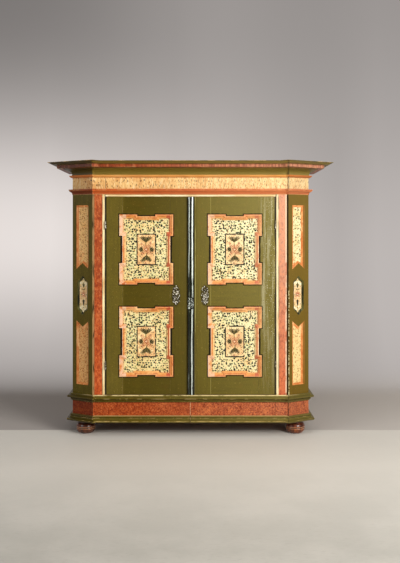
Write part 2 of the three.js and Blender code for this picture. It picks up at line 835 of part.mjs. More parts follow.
// Key plate: a pierced iron cartouche, with a keyhole in the middle
function keyPlate() {
  const bottom = keyPlateCentreHeight - keyHoleHeightShare * keyPlateHeight;
  const outline = fullOutline(keyPlateHalfShares, keyPlateWidth, keyPlateHeight, fineCurveSteps);
  const shape = new THREE.Shape(outline);
  const half = keyPlateWidth / 2;
  const sides = keyPlateSidePiercingShares.flatMap(([x, ...rest]) => [[x, ...rest], [-x, ...rest]]);
  for (const [x, z, rx, rz] of [...sides, ...keyPlateMiddlePiercingShares]) {
    const hole = new THREE.Path();
    hole.absellipse(x * half, z * keyPlateHeight, rx * half, rz * keyPlateHeight, 0, 2 * Math.PI, true);
    shape.holes.push(new THREE.Path(hole.getPoints(holeSteps).slice(1)));
  }
  shape.holes.push(keyHoleOutline(0, keyHoleHeightShare * keyPlateHeight));
  return new THREE.ExtrudeGeometry(shape, { depth: keyPlateThickness, bevelEnabled: false })
    .rotateX(Math.PI / 2).translate(-keyPlateOffset, -fit, bottom);
}

// A keyhole: a round head with a slot below it
function keyHoleOutline(x, z) {
  const slot = keyHoleSlotWidth / 2;
  const start = Math.asin(slot / keyHoleRadius);
  const points = [];
  for (let i = 0; i <= holeSteps; i += 1) {
    const angle = -Math.PI / 2 + start + (i / holeSteps) * 2 * (Math.PI - start);
    const [across, up] = [Math.cos(angle), Math.sin(angle)];
    points.push(new THREE.Vector2(x + keyHoleRadius * across, z + keyHoleRadius * up));
  }
  points.push(new THREE.Vector2(x - slot, z - keyHoleSlotLength));
  points.push(new THREE.Vector2(x + slot, z - keyHoleSlotLength));
  return new THREE.Path(points.reverse());
}

function keyHoleCutter() {
  const points = keyHoleOutline(-keyPlateOffset, keyPlateCentreHeight).getPoints().reverse();
  return new THREE.ExtrudeGeometry(new THREE.Shape(points), {
    depth: doorThickness + 2 * overrun,
    bevelEnabled: false,
  }).rotateX(Math.PI / 2).translate(0, doorThickness + overrun, 0);
}

// Hinges: a pin standing in the leaf on the frame, and a capped barrel on the leaf of the door

function hingePlate(direction, bottom, top) {
  const near = hingeLeafGap * direction;
  const far = (hingeLeafGap + hingeLeafThickness) * direction;
  const x = [near, far].sort((a, b) => a - b);
  return board([x[0] - hingeX, -hingeStandoff, bottom],
    [x[1] - hingeX, hingeLeafDepth - hingeStandoff, top]);
}

function frameLeaf(height) {
  const bottom = height - hingeLength / 2;
  const profile = [
    [0, bottom - hingeCap], [hingeRadius / 2, bottom - hingeCap], [hingeRadius, bottom],
    [hingeRadius, height], [hingePinRadius, height],
    [hingePinRadius, height + hingeLength / 2 - 2 * hingeCap],
    [0, height + hingeLength / 2 - 2 * hingeCap],
  ].map(([r, z]) => new THREE.Vector2(r, z));
  const knuckle = closedLathe(profile, hingeSegments, -hingeX, -hingeStandoff);
  return join(knuckle, hingePlate(-1, bottom, height));
}

function doorLeaf(height) {
  const low = height + fit;
  const top = height + hingeLength / 2;
  const profile = [
    [0, top - hingeCap], [hingeBoreRadius, top - hingeCap], [hingeBoreRadius, low],
    [hingeRadius, low], [hingeRadius, top], [hingeRadius / 2, top + hingeCap], [0, top + hingeCap],
  ].map(([r, z]) => new THREE.Vector2(r, z));
  const barrel = closedLathe(profile, hingeSegments, -hingeX, -hingeStandoff);
  const bore = closedLathe(
    [[0, low - overrun], [hingeBoreRadius, low - overrun],
      [hingeBoreRadius, top - hingeCap], [0, top - hingeCap]]
      .map(([r, z]) => new THREE.Vector2(r, z)),
    hingeSegments, -hingeX, -hingeStandoff);
  return cut(join(barrel, hingePlate(1, low, top)), bore);
}

const hingeHeights = { lower: doorBottom + lowerHingeMargin, upper: doorTop - upperHingeMargin };

function addFrameLeaves(side, turn) {
  for (const [place, height] of Object.entries(hingeHeights)) {
    addPiece(`hinge_frame_leaf_${side}_${place}`, turn(frameLeaf(height)), iron);
  }
}

function addDoor(side, meetingEdge, turn) {
  const hingeEdge = -openingHalf + doorGap;
  const meetingStile = doorStile(panelRight, meetingEdge, panelRight, 1);
  const keyed = side === 'right' ? cut(meetingStile, keyHoleCutter()) : meetingStile;
  addPiece(`door_${side}_stile_hinge`, turn(doorStile(hingeEdge, panelLeft, panelLeft, -1)), greenPaint);
  addPiece(`door_${side}_stile_meeting`, turn(keyed), greenPaint);
  for (const [place, [bottom, height]] of Object.entries(rails)) {
    addPiece(`door_${side}_rail_${place}`, turn(doorRail(bottom, height)), greenPaint);
  }
  for (const [place, bottom] of Object.entries(panelBottoms)) {
    addPiece(`door_${side}_panel_${place}`, turn(board(...panelCorners(bottom))), creamPaint);
    addPiece(`door_${side}_moulding_${place}`, turn(earedMoulding(bottom)), orangePaint);
  }
  addPiece(`door_${side}_key_plate`, turn(geometryOf(solidOf(keyPlate()))), iron);
  for (const [place, height] of Object.entries(hingeHeights)) {
    addPiece(`door_${side}_hinge_leaf_${place}`, turn(doorLeaf(height)), iron);
  }
}

// The cover strip on the right-hand door: a flat fillet, a bead and a larger roll, side by side
function coverStrip() {
  const left = seamOffset + doorGap / 2;
  const shape = new THREE.Shape();
  const beadMiddle = left + stripBeadRadius;
  const rollMiddle = beadMiddle + stripBeadRadius + stripRollRadius + fit;
  shape.moveTo(left, fit);
  shape.lineTo(left, stripBase);
  shape.absarc(beadMiddle, stripBase, stripBeadRadius, Math.PI, 0, true);
  shape.absarc(rollMiddle, stripBase, stripRollRadius, Math.PI, 0, true);
  shape.lineTo(left + stripWidth, stripBase);
  shape.lineTo(left + stripWidth, fit);
  return new THREE.ExtrudeGeometry(shape, {
    depth: doorHeight,
    bevelEnabled: false,
    curveSegments: 2 * curveSteps,
  }).scale(1, -1, 1).translate(0, 0, doorBottom);
}

// The lock on the back of the right-hand door. Its bolt shoots behind the left-hand door.

const lockLeft = seamOffset + doorGap / 2 + lockEdgeMargin;
const lockFront = doorThickness + fit;
const lockBoltFront = doorThickness + lockBoltStandoff;

function lockBoltCorners() {
  return [
    [lockLeft, lockBoltFront, keyPlateCentreHeight - lockBoltHeight / 2],
    [lockLeft + lockBoltLength, lockBoltFront + lockBoltThickness,
      keyPlateCentreHeight + lockBoltHeight / 2],
  ];
}

function lockCase() {
  const half = lockHeight / 2;
  const body = board([lockLeft, lockFront, keyPlateCentreHeight - half],
    [lockLeft + lockWidth, lockFront + lockThickness, keyPlateCentreHeight + half]);
  const [low, high] = lockBoltCorners();
  const channel = board([low[0] - overrun, low[1] - boltPlay, low[2] - boltPlay],
    [high[0] + boltPlay, high[1] + boltPlay, high[2] + boltPlay]);
  return cut(body, channel, mirrored(geometryOf(solidOf(keyHoleCutter()))));
}

// The upright bolt on the back of the left-hand door shoots up behind the stop of the head rail

const boltX = seamOffset - doorGap / 2 - doorBoltInset;
const boltTop = openingTop - doorStopRise - doorBoltRestGap;
const boltFront = doorThickness + doorBoltStandoff;

function doorBolt() {
  const half = doorBoltWidth / 2;
  const rod = board([boltX - half, boltFront, boltTop - doorBoltLength],
    [boltX + half, boltFront + doorBoltThickness, boltTop]);
  const knob = new THREE
    .CylinderGeometry(doorBoltKnobRadius, doorBoltKnobRadius, doorBoltKnobLength, holeSteps)
    .translate(boltX, boltFront + doorBoltThickness / 2 + doorBoltKnobLength / 2,
      boltTop - doorBoltLength + 2 * doorBoltKnobRadius);
  return join(rod, knob);
}

function doorBoltPlate() {
  const half = doorBoltPlateWidth / 2;
  const top = boltTop - doorBoltPlateDrop;
  const bottom = top - doorBoltPlateHeight;
  const seat = doorThickness + fit;
  const bed = board([boltX - half, seat, bottom], [boltX + half, boltFront - boltPlay, top]);
  const wall = doorBoltWidth / 2 + boltPlay + doorBoltGuideWall;
  const guides = [bottom, top - doorBoltGuideHeight].map((level) => {
    return board([boltX - wall, boltFront - boltPlay - overrun, level],
      [boltX + wall, boltFront + doorBoltThickness + boltPlay + doorBoltGuideWall,
        level + doorBoltGuideHeight]);
  });
  const run = doorBoltWidth / 2 + boltPlay;
  const channel = board([boltX - run, boltFront - boltPlay, bottom - overrun],
    [boltX + run, boltFront + doorBoltThickness + boltPlay, top + overrun]);
  return cut(join(bed, ...guides), channel);
}

function addDoors() {
  const asDrawn = (geometry) => geometry;
  addFrameLeaves('left', asDrawn);
  addFrameLeaves('right', mirrored);
  addDoor('left', seamOffset - doorGap / 2, asDrawn);
  addDoor('right', -(seamOffset + doorGap / 2), mirrored);
  addPiece('door_right_cover_strip', facingOut(mergeVertices(coverStrip())), blackGloss);
  addPiece('lock_case', lockCase(), iron);
  addPiece('lock_bolt', board(...lockBoltCorners()), iron);
  addPiece('door_bolt_plate', doorBoltPlate(), iron);
  addPiece('door_bolt', doorBolt(), iron);
}

addFeet();
addPlinth();
addCarcass();
addMouldings();
addDoors();

// The crown reaches furthest forward at the front corners: the box is centred between there and the back
const crownReach = offsetOutline(bothSides(leftOutline), crownProjection, false);
const frontReach = Math.min(...crownReach.map((point) => point.y));
cupboard.position.y = -(frontReach + bodyDepth) / 2;

export default cupboard;
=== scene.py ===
import math
import random

import bmesh
import bpy
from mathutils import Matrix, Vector


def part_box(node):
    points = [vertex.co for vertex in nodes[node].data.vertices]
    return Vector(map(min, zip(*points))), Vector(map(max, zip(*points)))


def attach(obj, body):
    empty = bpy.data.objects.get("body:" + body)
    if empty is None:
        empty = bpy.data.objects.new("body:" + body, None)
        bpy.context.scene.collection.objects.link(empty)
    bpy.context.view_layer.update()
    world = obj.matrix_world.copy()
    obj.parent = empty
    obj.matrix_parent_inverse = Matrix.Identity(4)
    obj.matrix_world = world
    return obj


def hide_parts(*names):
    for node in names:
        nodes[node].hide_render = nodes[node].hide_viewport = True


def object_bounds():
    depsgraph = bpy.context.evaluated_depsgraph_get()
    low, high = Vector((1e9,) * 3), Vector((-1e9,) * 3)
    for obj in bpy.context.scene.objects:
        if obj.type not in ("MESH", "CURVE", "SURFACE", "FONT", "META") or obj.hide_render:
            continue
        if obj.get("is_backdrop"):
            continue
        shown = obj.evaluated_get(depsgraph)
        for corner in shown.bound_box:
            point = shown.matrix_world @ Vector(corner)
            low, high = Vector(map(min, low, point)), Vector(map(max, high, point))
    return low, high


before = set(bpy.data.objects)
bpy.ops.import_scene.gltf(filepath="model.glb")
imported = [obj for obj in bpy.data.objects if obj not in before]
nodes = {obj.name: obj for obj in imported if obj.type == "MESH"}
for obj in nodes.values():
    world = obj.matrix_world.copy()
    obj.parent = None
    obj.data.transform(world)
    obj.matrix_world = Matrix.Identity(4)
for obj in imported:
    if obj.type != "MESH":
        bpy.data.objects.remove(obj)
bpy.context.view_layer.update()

# Places in the row frame, in metres. Local depth 0 is the front face of the carcass.
FRONT = -0.1577465
HALF_BODY = 0.818
CANT_START_Y = FRONT + 0.076
CANT_COS = 0.866
CANT_SIN = 0.5
FIELD_NEAR = 0.0325
FIELD_FAR = 0.1395
PANEL_FACE = FRONT + 0.008
PANEL_X = 0.3025
PANEL_Z = {"lower": 0.64225, "upper": 1.27275}
PANEL_MIDDLE = (PANEL_Z["lower"] + PANEL_Z["upper"]) / 2
PANEL_REACH = (PANEL_Z["upper"] - PANEL_Z["lower"]) / 2
EAR_HALF_WIDTH = 0.1845
EAR_HALF_HEIGHT = 0.23975
EAR_HEAD_NOTCH = 0.012
EAR_HEAD_HALF = 0.0615
EAR_SIDE_NOTCH = 0.020
EAR_SIDE_HALF = 0.0925
KEY_PLATE_X = 0.099
KEY_PLATE_Z = 0.957
LOWER_FIELD_Z = (0.335, 0.790)
UPPER_FIELD_Z = (1.125, 1.585)
CARTOUCHE_SPAN = (0.812, 1.103)
CARTOUCHE_Z = 0.9575
SIGN = {"left": -1, "right": 1}

# Upright lines, from left to right
FRIEZE_JOINT = (-0.5825, -0.5795)
BASE_PARTING = (-0.0042, 0.0026)
PLINTH_PARTING = (-0.0030, 0.0004)
PLINTH_CRACK = (0.5800, 0.5822)

# Heights of painted lines and edges; the third number of a ring or groove is how soft its edge is
# On the feet: painted highlight rings, and painted shade in the grooves
FOOT_HIGHLIGHT_RINGS = ((0.0345, 0.0375, 0.0008), (0.0440, 0.0480, 0.0010))
FOOT_GROOVE_SHADES = ((0.0380, 0.0425, 0.0008), (0.0720, 0.0770, 0.0010))
BASE_NOSE = (0.1005, 0.1080)
BASE_LINE = (0.1350, 0.1385)
PLINTH_DARK_TOP = 0.2255
WAIST_SHADOW = (0.2440, 0.2480)
WAIST_NOSE = (0.2535, 0.2590)
WAIST_ARRIS = 0.2735
HEAD_CREAM = (1.6355, 1.6462)
NECK_LINE = 1.6525
NECK_HOLLOW = 1.6620
FRIEZE_EDGES = (1.6895, 1.7640)
FRIEZE_JOINT_Z = (1.694, 1.758)
FILLET_TOP = 1.7826
CROWN_LINE = (1.8275, 1.8300)
CROWN_BAND_TOP = 1.8503


# Colours are written as they look, 0 to 255
def tone(r, g, b):
    def linear(v):
        v /= 255
        return v / 12.92 if v <= 0.04045 else ((v + 0.055) / 1.055) ** 2.4
    return (linear(r), linear(g), linear(b), 1)


class Paint:
    """A node material built up in layers."""

    def __init__(self, name):
        self.material = bpy.data.materials.new(name)
        self.material.use_nodes = True
        self.tree = self.material.node_tree
        self.tree.nodes.clear()
        self.output = self.node("OutputMaterial")
        self.shader = self.node("BsdfPrincipled")
        self.link(self.shader.outputs[0], self.output.inputs[0])
        self.coordinates = self.node("TexCoord")
        self.place = self.coordinates.outputs["Object"]
        self.facing = self.coordinates.outputs["Normal"]
        split = self.node("SeparateXYZ")
        self.link(self.place, split.inputs[0])
        self.x, self.y, self.z = split.outputs
        split = self.node("SeparateXYZ")
        self.link(self.facing, split.inputs[0])
        self.nx, self.ny, self.nz = split.outputs
        self.outward = self.mul(self.nx, self.math("SIGN", self.x))

    def node(self, kind, **settings):
        made = self.tree.nodes.new("ShaderNode" + kind)
        for key, value in settings.items():
            setattr(made, key, value)
        return made

    def link(self, a, b):
        self.tree.links.new(a, b)

    def put(self, value, socket):
        if isinstance(value, bpy.types.NodeSocket):
            self.link(value, socket)
        else:
            socket.default_value = value

    def math(self, operation, *values):
        made = self.node("Math", operation=operation)
        for value, socket in zip(values, made.inputs):
            self.put(value, socket)
        return made.outputs[0]

    def add(self, a, b):
        return self.math("ADD", a, b)

    def sub(self, a, b):
        return self.math("SUBTRACT", a, b)

    def mul(self, a, b):
        return self.math("MULTIPLY", a, b)

    def size(self, value):
        return self.math("ABSOLUTE", value)

    def rest(self, mask):
        """1 where the mask is 0, and 0 where it is 1."""
        return self.sub(1.0, mask)

    def above(self, value, edge, soft=0.0005):
        """0 below the edge, 1 above it, with a soft step. The edge is a number or a socket."""
        linked = isinstance(edge, bpy.types.NodeSocket)
        low = self.sub(edge, soft) if linked else edge - soft
        high = self.add(edge, soft) if linked else edge + soft
        return self.spread(value, low, high)

    def below(self, value, edge, soft=0.0005):
        return self.rest(self.above(value, edge, soft))

    def within(self, value, low, high, soft=0.0005):
        return self.mul(self.above(value, low, soft), self.below(value, high, soft))

    def both(self, *masks):
        result = masks[0]
        for mask in masks[1:]:
            result = self.mul(result, mask)
        return result

    def either(self, a, b):
        return self.math("MAXIMUM", a, b)

    def left_half(self):
        return self.below(self.x, 0.0, 0.01)

    def right_half(self):
        return self.above(self.x, 0.0, 0.01)

    def combine(self, x, y, z=0.0):
        made = self.node("CombineXYZ")
        for value, socket in zip((x, y, z), made.inputs):
            self.put(value, socket)
        return made.outputs[0]

    def scaled(self, sx, sy, sz, shift=0.0):
        """The place on the piece, stretched and moved on, so that each board has grain of its own."""
        made = self.node("Mapping")
        self.link(self.place, made.inputs[0])
        made.inputs["Scale"].default_value = (sx, sy, sz)
        chance = self.node("ObjectInfo").outputs["Random"]
        moved = self.node("VectorMath", operation="ADD")
        self.link(made.outputs[0], moved.inputs[0])
        back = self.add(self.mul(chance, 61.0), shift)
        away = self.combine(self.mul(chance, 37.0), back, self.mul(chance, 17.0))
        self.link(away, moved.inputs[1])
        return moved.outputs[0]

    def noise(self, vector, scale, detail=3.0, rough=0.55, bend=0.0, colour=False):
        """A noise at a vector, or at the place on the piece as scaled() gives it from numbers."""
        if isinstance(vector, tuple):
            vector = self.scaled(*vector)
        made = self.node("TexNoise")
        self.put(vector, made.inputs["Vector"])
        made.inputs["Scale"].default_value = scale
        made.inputs["Detail"].default_value = detail
        made.inputs["Roughness"].default_value = rough
        made.inputs["Distortion"].default_value = bend
        return made.outputs["Color" if colour else 0]

    def ramp(self, value, low, high, interpolation="LINEAR"):
        """0 below low, 1 above high, and an even slope between."""
        made = self.node("MapRange", interpolation_type=interpolation)
        for part, name in ((value, "Value"), (low, "From Min"), (high, "From Max")):
            self.put(part, made.inputs[name])
        return made.outputs[0]

    def spread(self, value, low, high):
        """The part of a value between low and high, stretched to 0 to 1 with soft ends."""
        return self.ramp(value, low, high, "SMOOTHSTEP")

    def patches(self, stretch, scale, low, high, detail=3.0, rough=0.55, bend=0.0):
        """Soft patches of a noise: 1 where it is over high, 0 where it is under low."""
        return self.spread(self.noise(stretch, scale, detail, rough, bend), low, high)

    def mix(self, mask, a, b):
        made = self.node("Mix", data_type="RGBA")
        self.put(mask, made.inputs[0])
        self.put(a, made.inputs[6])
        self.put(b, made.inputs[7])
        return made.outputs[2]

    def coat(self, colour, paint, *masks):
        """The colour with a coat of another over it, as thick as its masks multiplied."""
        return self.mix(self.both(*masks), colour, tone(*paint))

    def blend(self, mask, a, b):
        made = self.node("Mix", data_type="FLOAT")
        self.put(mask, made.inputs[0])
        self.put(a, made.inputs[2])
        self.put(b, made.inputs[3])
        return made.outputs[0]

    def flecks(self, vector, spacing, radius, stretch, share, shift):
        """Short brush dabs, each turned its own way: one in each cell of a loose net."""
        moved = self.node("VectorMath", operation="MULTIPLY_ADD")
        self.put(vector, moved.inputs[0])
        moved.inputs[1].default_value = (1 / spacing,) * 3
        moved.inputs[2].default_value = (shift, shift * 1.7, 0)
        wobble = self.noise(moved.outputs[0], 2.3, 1.0, colour=True)
        bent = self.node("VectorMath", operation="MULTIPLY_ADD")
        self.link(wobble, bent.inputs[0])
        bent.inputs[1].default_value = (0.12, 0.12, 0)
        self.link(moved.outputs[0], bent.inputs[2])
        cells = self.node("TexVoronoi", voronoi_dimensions="2D")
        self.link(bent.outputs[0], cells.inputs["Vector"])
        cells.inputs["Scale"].default_value = 1
        cells.inputs["Randomness"].default_value = 0.78
        away = self.node("VectorMath", operation="SUBTRACT")
        self.link(bent.outputs[0], away.inputs[0])
        self.link(cells.outputs["Position"], away.inputs[1])
        chance = self.node("SeparateColor")
        self.link(cells.outputs["Color"], chance.inputs[0])
        turned = self.node("VectorRotate", rotation_type="Z_AXIS")
        self.link(away.outputs[0], turned.inputs["Vector"])
        self.link(self.mul(chance.outputs[0], math.tau), turned.inputs["Angle"])
        slim = self.node("VectorMath", operation="MULTIPLY")
        self.link(turned.outputs[0], slim.inputs[0])
        slim.inputs[1].default_value = (1, stretch, 0)
        length = self.node("VectorMath", operation="LENGTH")
        self.link(slim.outputs[0], length.inputs[0])
        size = self.mul(self.add(0.55, self.mul(chance.outputs[1], 0.75)), radius / spacing)
        dab = self.below(length.outputs["Value"], size, 0.030)
        return self.mul(dab, self.below(chance.outputs[2], share, 0.02))

    def finish(self, colour, rough, height, strength, distance=0.001, metal=0.0,
               coat=0.0, coat_rough=0.2, specular=0.3):
        """Put the layers into the shader, with the height as a fine relief."""
        self.put(colour, self.shader.inputs["Base Color"])
        self.put(rough, self.shader.inputs["Roughness"])
        self.put(metal, self.shader.inputs["Metallic"])
        self.shader.inputs["Coat Weight"].default_value = coat
        self.shader.inputs["Coat Roughness"].default_value = coat_rough
        self.shader.inputs["Specular IOR Level"].default_value = specular
        bump = self.node("Bump")
        bump.inputs["Strength"].default_value = strength
        bump.inputs["Distance"].default_value = distance
        self.link(height, bump.inputs["Height"])
        self.link(bump.outputs[0], self.shader.inputs["Normal"])
        return self.material

    # Layers that several materials share. Each gives a colour and a height.

    def old_paint(self, base, dark, light, along, streaks, wear, shift=0.0):
        """Brushed oil paint that has darkened, rubbed through and picked up dirt."""
        grain = self.noise((*along, shift), streaks, 5.0, 0.62, 0.4)
        cloud = self.noise((1, 1, 1, shift), 5.0, 4.0, 0.6)
        fine = self.noise((*along, shift), streaks * 5, 3.0, 0.7)
        colour = self.mix(self.spread(grain, 0.34, 0.66), dark, base)
        colour = self.mix(self.mul(self.spread(cloud, 0.5, 0.72), 0.55), colour, light)
        colour = self.mix(self.mul(self.spread(fine, 0.5, 0.7), 0.35), colour, dark)
        rubbed = self.add(self.mul(grain, 0.5), self.mul(cloud, 0.5))
        rubbed = self.mul(self.spread(rubbed, wear - 0.04, wear + 0.04), 0.7)
        colour = self.mix(rubbed, colour, light)
        height = self.add(self.mul(grain, 0.6), self.mul(fine, 0.4))
        return colour, height

    def pine(self, along):
        """Bare pine: long grain, darker late wood, and knots."""
        stretch = {"x": (0.05, 1, 1), "z": (1, 1, 0.05)}[along]
        knots = {"x": (0.35, 1, 1), "z": (1, 1, 0.35)}[along]
        cells = self.node("TexVoronoi")
        self.link(self.scaled(*knots), cells.inputs["Vector"])
        cells.inputs["Scale"].default_value = 4.2
        near = self.below(cells.outputs["Distance"], 0.16, 0.1)
        rings = self.noise(stretch, 34.0, 3.0, 0.5, 0.6)
        bands = self.math("SINE", self.add(self.mul(rings, 46.0), self.mul(near, 9.0)))
        fibre = self.noise(stretch, 420.0, 2.0, 0.6)
        cloud = self.noise((1, 1, 1), 3.0, 3.0)
        colour = self.mix(self.spread(bands, -0.7, 0.9), tone(150, 108, 62), tone(186, 146, 96))
        colour = self.coat(colour, (120, 84, 50), self.spread(cloud, 0.45, 0.7), 0.5)
        colour = self.coat(colour, (112, 76, 44), self.spread(fibre, 0.48, 0.75), 0.45)
        core = self.below(cells.outputs["Distance"], 0.045, 0.02)
        colour = self.coat(colour, (82, 48, 26), core, 0.85)
        return colour, self.add(self.mul(bands, 0.25), fibre)

    def outside(self):
        """1 on the painted faces, 0 on those that look in or back."""
        inward = self.both(self.below(self.outward, -0.5, 0.05), self.above(self.ny, -0.3, 0.05))
        return self.rest(self.either(inward, self.above(self.ny, 0.5, 0.05)))

    def canted(self):
        """1 on what looks to the side of the cupboard, such as the canted corners."""
        return self.above(self.sub(self.outward, self.mul(self.size(self.ny), 0.3)), 0.0, 0.02)

    def painted_sheen(self):
        """Painted sheen: lighter towards the right-hand side, where the light falls, more so higher up."""
        across = self.ramp(self.x, -0.35, 0.66)
        high = self.ramp(self.z, 0.35, 1.62)
        return self.mul(across, self.add(0.42, self.mul(high, 0.58)))

    def wood_behind(self, colour, height, along, rough, seen=None):
        """The paint where the piece shows, bare pine on its hidden faces."""
        bare, fibre = self.pine(along)
        if seen is None:
            seen = self.outside()
        return self.mix(seen, bare, colour), self.blend(seen, fibre, height), self.blend(seen, 0.8, rough)

    def finish_board(self, colour, height, along, rough, strength, specular=0.3, seen=None):
        """Finish a board: painted where it shows, bare pine on its hidden faces."""
        colour, height, rough = self.wood_behind(colour, height, along, rough, seen)
        return self.finish(colour, rough, height, strength, specular=specular)


GREEN = (tone(88, 75, 10), tone(70, 58, 8), tone(102, 88, 20))
RED = (tone(182, 80, 28), tone(132, 46, 14), tone(212, 118, 62))
CREAM = (tone(235, 220, 160), tone(228, 200, 134), tone(248, 240, 200))
ORANGE = (tone(222, 140, 64), tone(186, 88, 34), tone(246, 196, 132))
FIELD_ORANGE = (tone(236, 160, 92), tone(206, 112, 52), tone(250, 204, 146))
PEACH = (tone(244, 202, 140), tone(222, 164, 102), tone(252, 226, 168))

# Spacing and size of the dabs, how slim they are, their share, their colour, their place in the noise
FLECK_LAYERS = (
    (0.0120, 0.0036, 1.3, 0.42, tone(160, 160, 86), 3.1),
    (0.0170, 0.0038, 1.3, 0.40, tone(190, 116, 54), 7.7),
    (0.0150, 0.0042, 1.3, 0.40, tone(86, 98, 40), 11.3),
    (0.0162, 0.0058, 1.2, 0.66, tone(2, 5, 1), 17.9),
    (0.0300, 0.0074, 1.8, 0.45, tone(4, 8, 2), 23.3))


def green_layer(p, along=(1, 1, 0.1), shift=0.0, sheen_share=0.52):
    """Olive green, even and finely mottled, with a few specks and painted sheen to the right."""
    grain = p.noise((*along, shift), 60.0, 4.0, 0.6, 0.3)
    cloud = p.noise((1, 1, 1, shift), 6.0, 4.0, 0.6)
    fine = p.noise((1, 1, 1, 2 + shift), 150.0, 3.0, 0.65)
    colour = p.mix(p.spread(grain, 0.10, 0.62), GREEN[1], GREEN[0])
    colour = p.mix(p.mul(p.spread(cloud, 0.5, 0.7), 0.4), colour, GREEN[2])
    colour = p.coat(colour, (108, 94, 26), p.spread(fine, 0.52, 0.66), 0.5)
    colour = p.coat(colour, (62, 54, 8), p.spread(fine, 0.46, 0.34), 0.6)
    warm = p.patches((1, 1, 1, 5 + shift), 17.0, 0.55, 0.72)
    colour = p.coat(colour, (104, 74, 14), warm, 0.3)
    speck = p.flecks(p.combine(p.x, p.z), 0.030, 0.0026, 1.3, 0.36, 31.0 + shift)
    colour = p.coat(colour, (168, 140, 66), speck, 0.45)
    scuff = p.patches((*along, 9 + shift), 90.0, 0.68, 0.76, 4.0, 0.7)
    colour = p.coat(colour, (150, 126, 56), scuff, 0.3)
    # painted sheen towards the right
    colour = p.coat(colour, (160, 148, 84), p.painted_sheen(), sheen_share)
    return colour, p.add(p.mul(grain, 0.5), p.mul(fine, 0.5))


def red_layer(p, along=(1, 1, 1), shift=0.0, sheen_share=0.62):
    """Red paint dabbed and combed, so that it is mottled with short marks."""
    colour, height = p.old_paint(*RED, along=along, streaks=90.0, wear=0.66, shift=shift)
    dabs = p.noise((1, 1, 1.4, 3 + shift), 150.0, 3.0, 0.65, 1.2)
    colour = p.mix(p.mul(p.spread(dabs, 0.53, 0.66), 0.5), colour, RED[2])
    colour = p.mix(p.mul(p.spread(dabs, 0.47, 0.35), 0.6), colour, RED[1])
    spot = p.patches((1, 1, 1, 6 + shift), 70.0, 0.66, 0.72, 3.0, 0.7)
    colour = p.coat(colour, (84, 40, 12), spot, 0.6)
    # painted sheen towards the right
    colour = p.coat(colour, (246, 186, 150), p.painted_sheen(), sheen_share)
    return colour, p.add(height, p.mul(dabs, 0.6))


def cream_layer(p, plane, dense=1.0, shift=0.0):
    """Cream ground with crisp dabs of black, olive and rust, as in the painted fields."""
    cloud = p.noise((1, 1, 1, shift), 9.0, 4.0, 0.6)
    colour = p.mix(p.spread(cloud, 0.3, 0.62), CREAM[1], CREAM[0])
    # painted sheen towards the right
    colour = p.coat(colour, (252, 246, 208), p.painted_sheen(), 0.75)
    cool = p.noise((1, 1, 1, 4 + shift), 18.0, 3.0)
    colour = p.coat(colour, (208, 212, 158), p.spread(cool, 0.52, 0.66), 0.5)
    warm = p.noise((1, 1, 1, 8 + shift), 8.0, 3.0)
    colour = p.coat(colour, (240, 188, 116), p.spread(warm, 0.56, 0.7), 0.6)
    fine = p.noise((1, 1, 1, 2 + shift), 260.0, 2.0)
    colour = p.mix(p.mul(p.spread(fine, 0.52, 0.76), 0.4), colour, CREAM[1])
    for spacing, radius, stretch, share, dab, offset in FLECK_LAYERS:
        dabs = p.flecks(plane, spacing, radius, stretch, share * dense, offset + shift)
        colour = p.mix(dabs, colour, dab)
    return colour, p.add(p.mul(cloud, 0.3), p.mul(fine, 0.7))


def door_plane(p):
    """The plane in which dabs lie on doors and other front faces."""
    return p.combine(p.x, p.z)


# Tint of the painted shade and dirt on the cornice corners
CORNICE_SHADE_AND_DIRT = (0.22, 0.21, 0.24, 1)


def corner_shade_and_dirt(p, colour, share=0.55, tint=(0.38, 0.36, 0.34, 1)):
    """Painted shade on the canted corners and sides, which get less light, with dirt kept in their paint."""
    dark = p.node("Mix", data_type="RGBA", blend_type="MULTIPLY")
    p.put(p.mul(p.canted(), share), dark.inputs[0])
    p.put(colour, dark.inputs[6])
    dark.inputs[7].default_value = tint
    return dark.outputs[2]


def cornice_share(p):
    """The left corner of the cornice gets much the most of this painted shade and dirt."""
    return p.add(0.28, p.mul(p.left_half(), 0.62))


def prow_shadow(p, colour):
    """Painted shadow along the right-hand prow, where the mouldings of the cornice are mitred."""
    line = p.both(prow_line(p, 0.0050), p.right_half(), 0.6)
    return p.mix(line, colour, tone(50, 38, 22))


def prow_line(p, half_width):
    """1 along the prow arris, in broken patches. Laid on dark, it is painted shade of the return; laid on
    light, rubbed paint.
    """
    ahead = p.sub(FRONT - 0.010, p.y)
    away = p.size(p.sub(p.add(p.size(p.x), p.mul(ahead, 0.106)), 0.6690))
    rub = p.patches((1, 1, 0.5, 33), 40.0, 0.33, 0.45)
    return p.both(p.below(away, half_width, 0.0006), p.below(p.ny, 0.2, 0.1), rub)


def eared_outline(p, grow, ragged):
    """1 inside the outline of the nearest panel moulding, grown by a little and ragged."""
    dx = p.add(p.size(p.sub(p.size(p.x), PANEL_X)), ragged)
    dz = p.add(p.size(p.sub(p.size(p.sub(p.z, PANEL_MIDDLE)), PANEL_REACH)), ragged)
    whole = p.both(p.below(dx, EAR_HALF_WIDTH + grow), p.below(dz, EAR_HALF_HEIGHT + grow))
    head = p.both(p.above(dz, EAR_HALF_HEIGHT - EAR_HEAD_NOTCH + grow), p.below(dx, EAR_HEAD_HALF - grow))
    notch = EAR_HALF_WIDTH - EAR_SIDE_NOTCH + 2 * grow
    side = p.both(p.above(dx, notch), p.below(dz, EAR_SIDE_HALF - grow))
    return p.both(whole, p.rest(head), p.rest(side))


def green_board(name):
    """A green upright board of the carcass, bare on its inner face."""
    p = Paint(name)
    colour, height = green_layer(p, (1, 1, 0.1))
    # painted shade and dirt on the faces that look sideways
    colour = corner_shade_and_dirt(p, colour)
    return p.finish_board(colour, height, "z", 0.46, 0.3, specular=0.15)


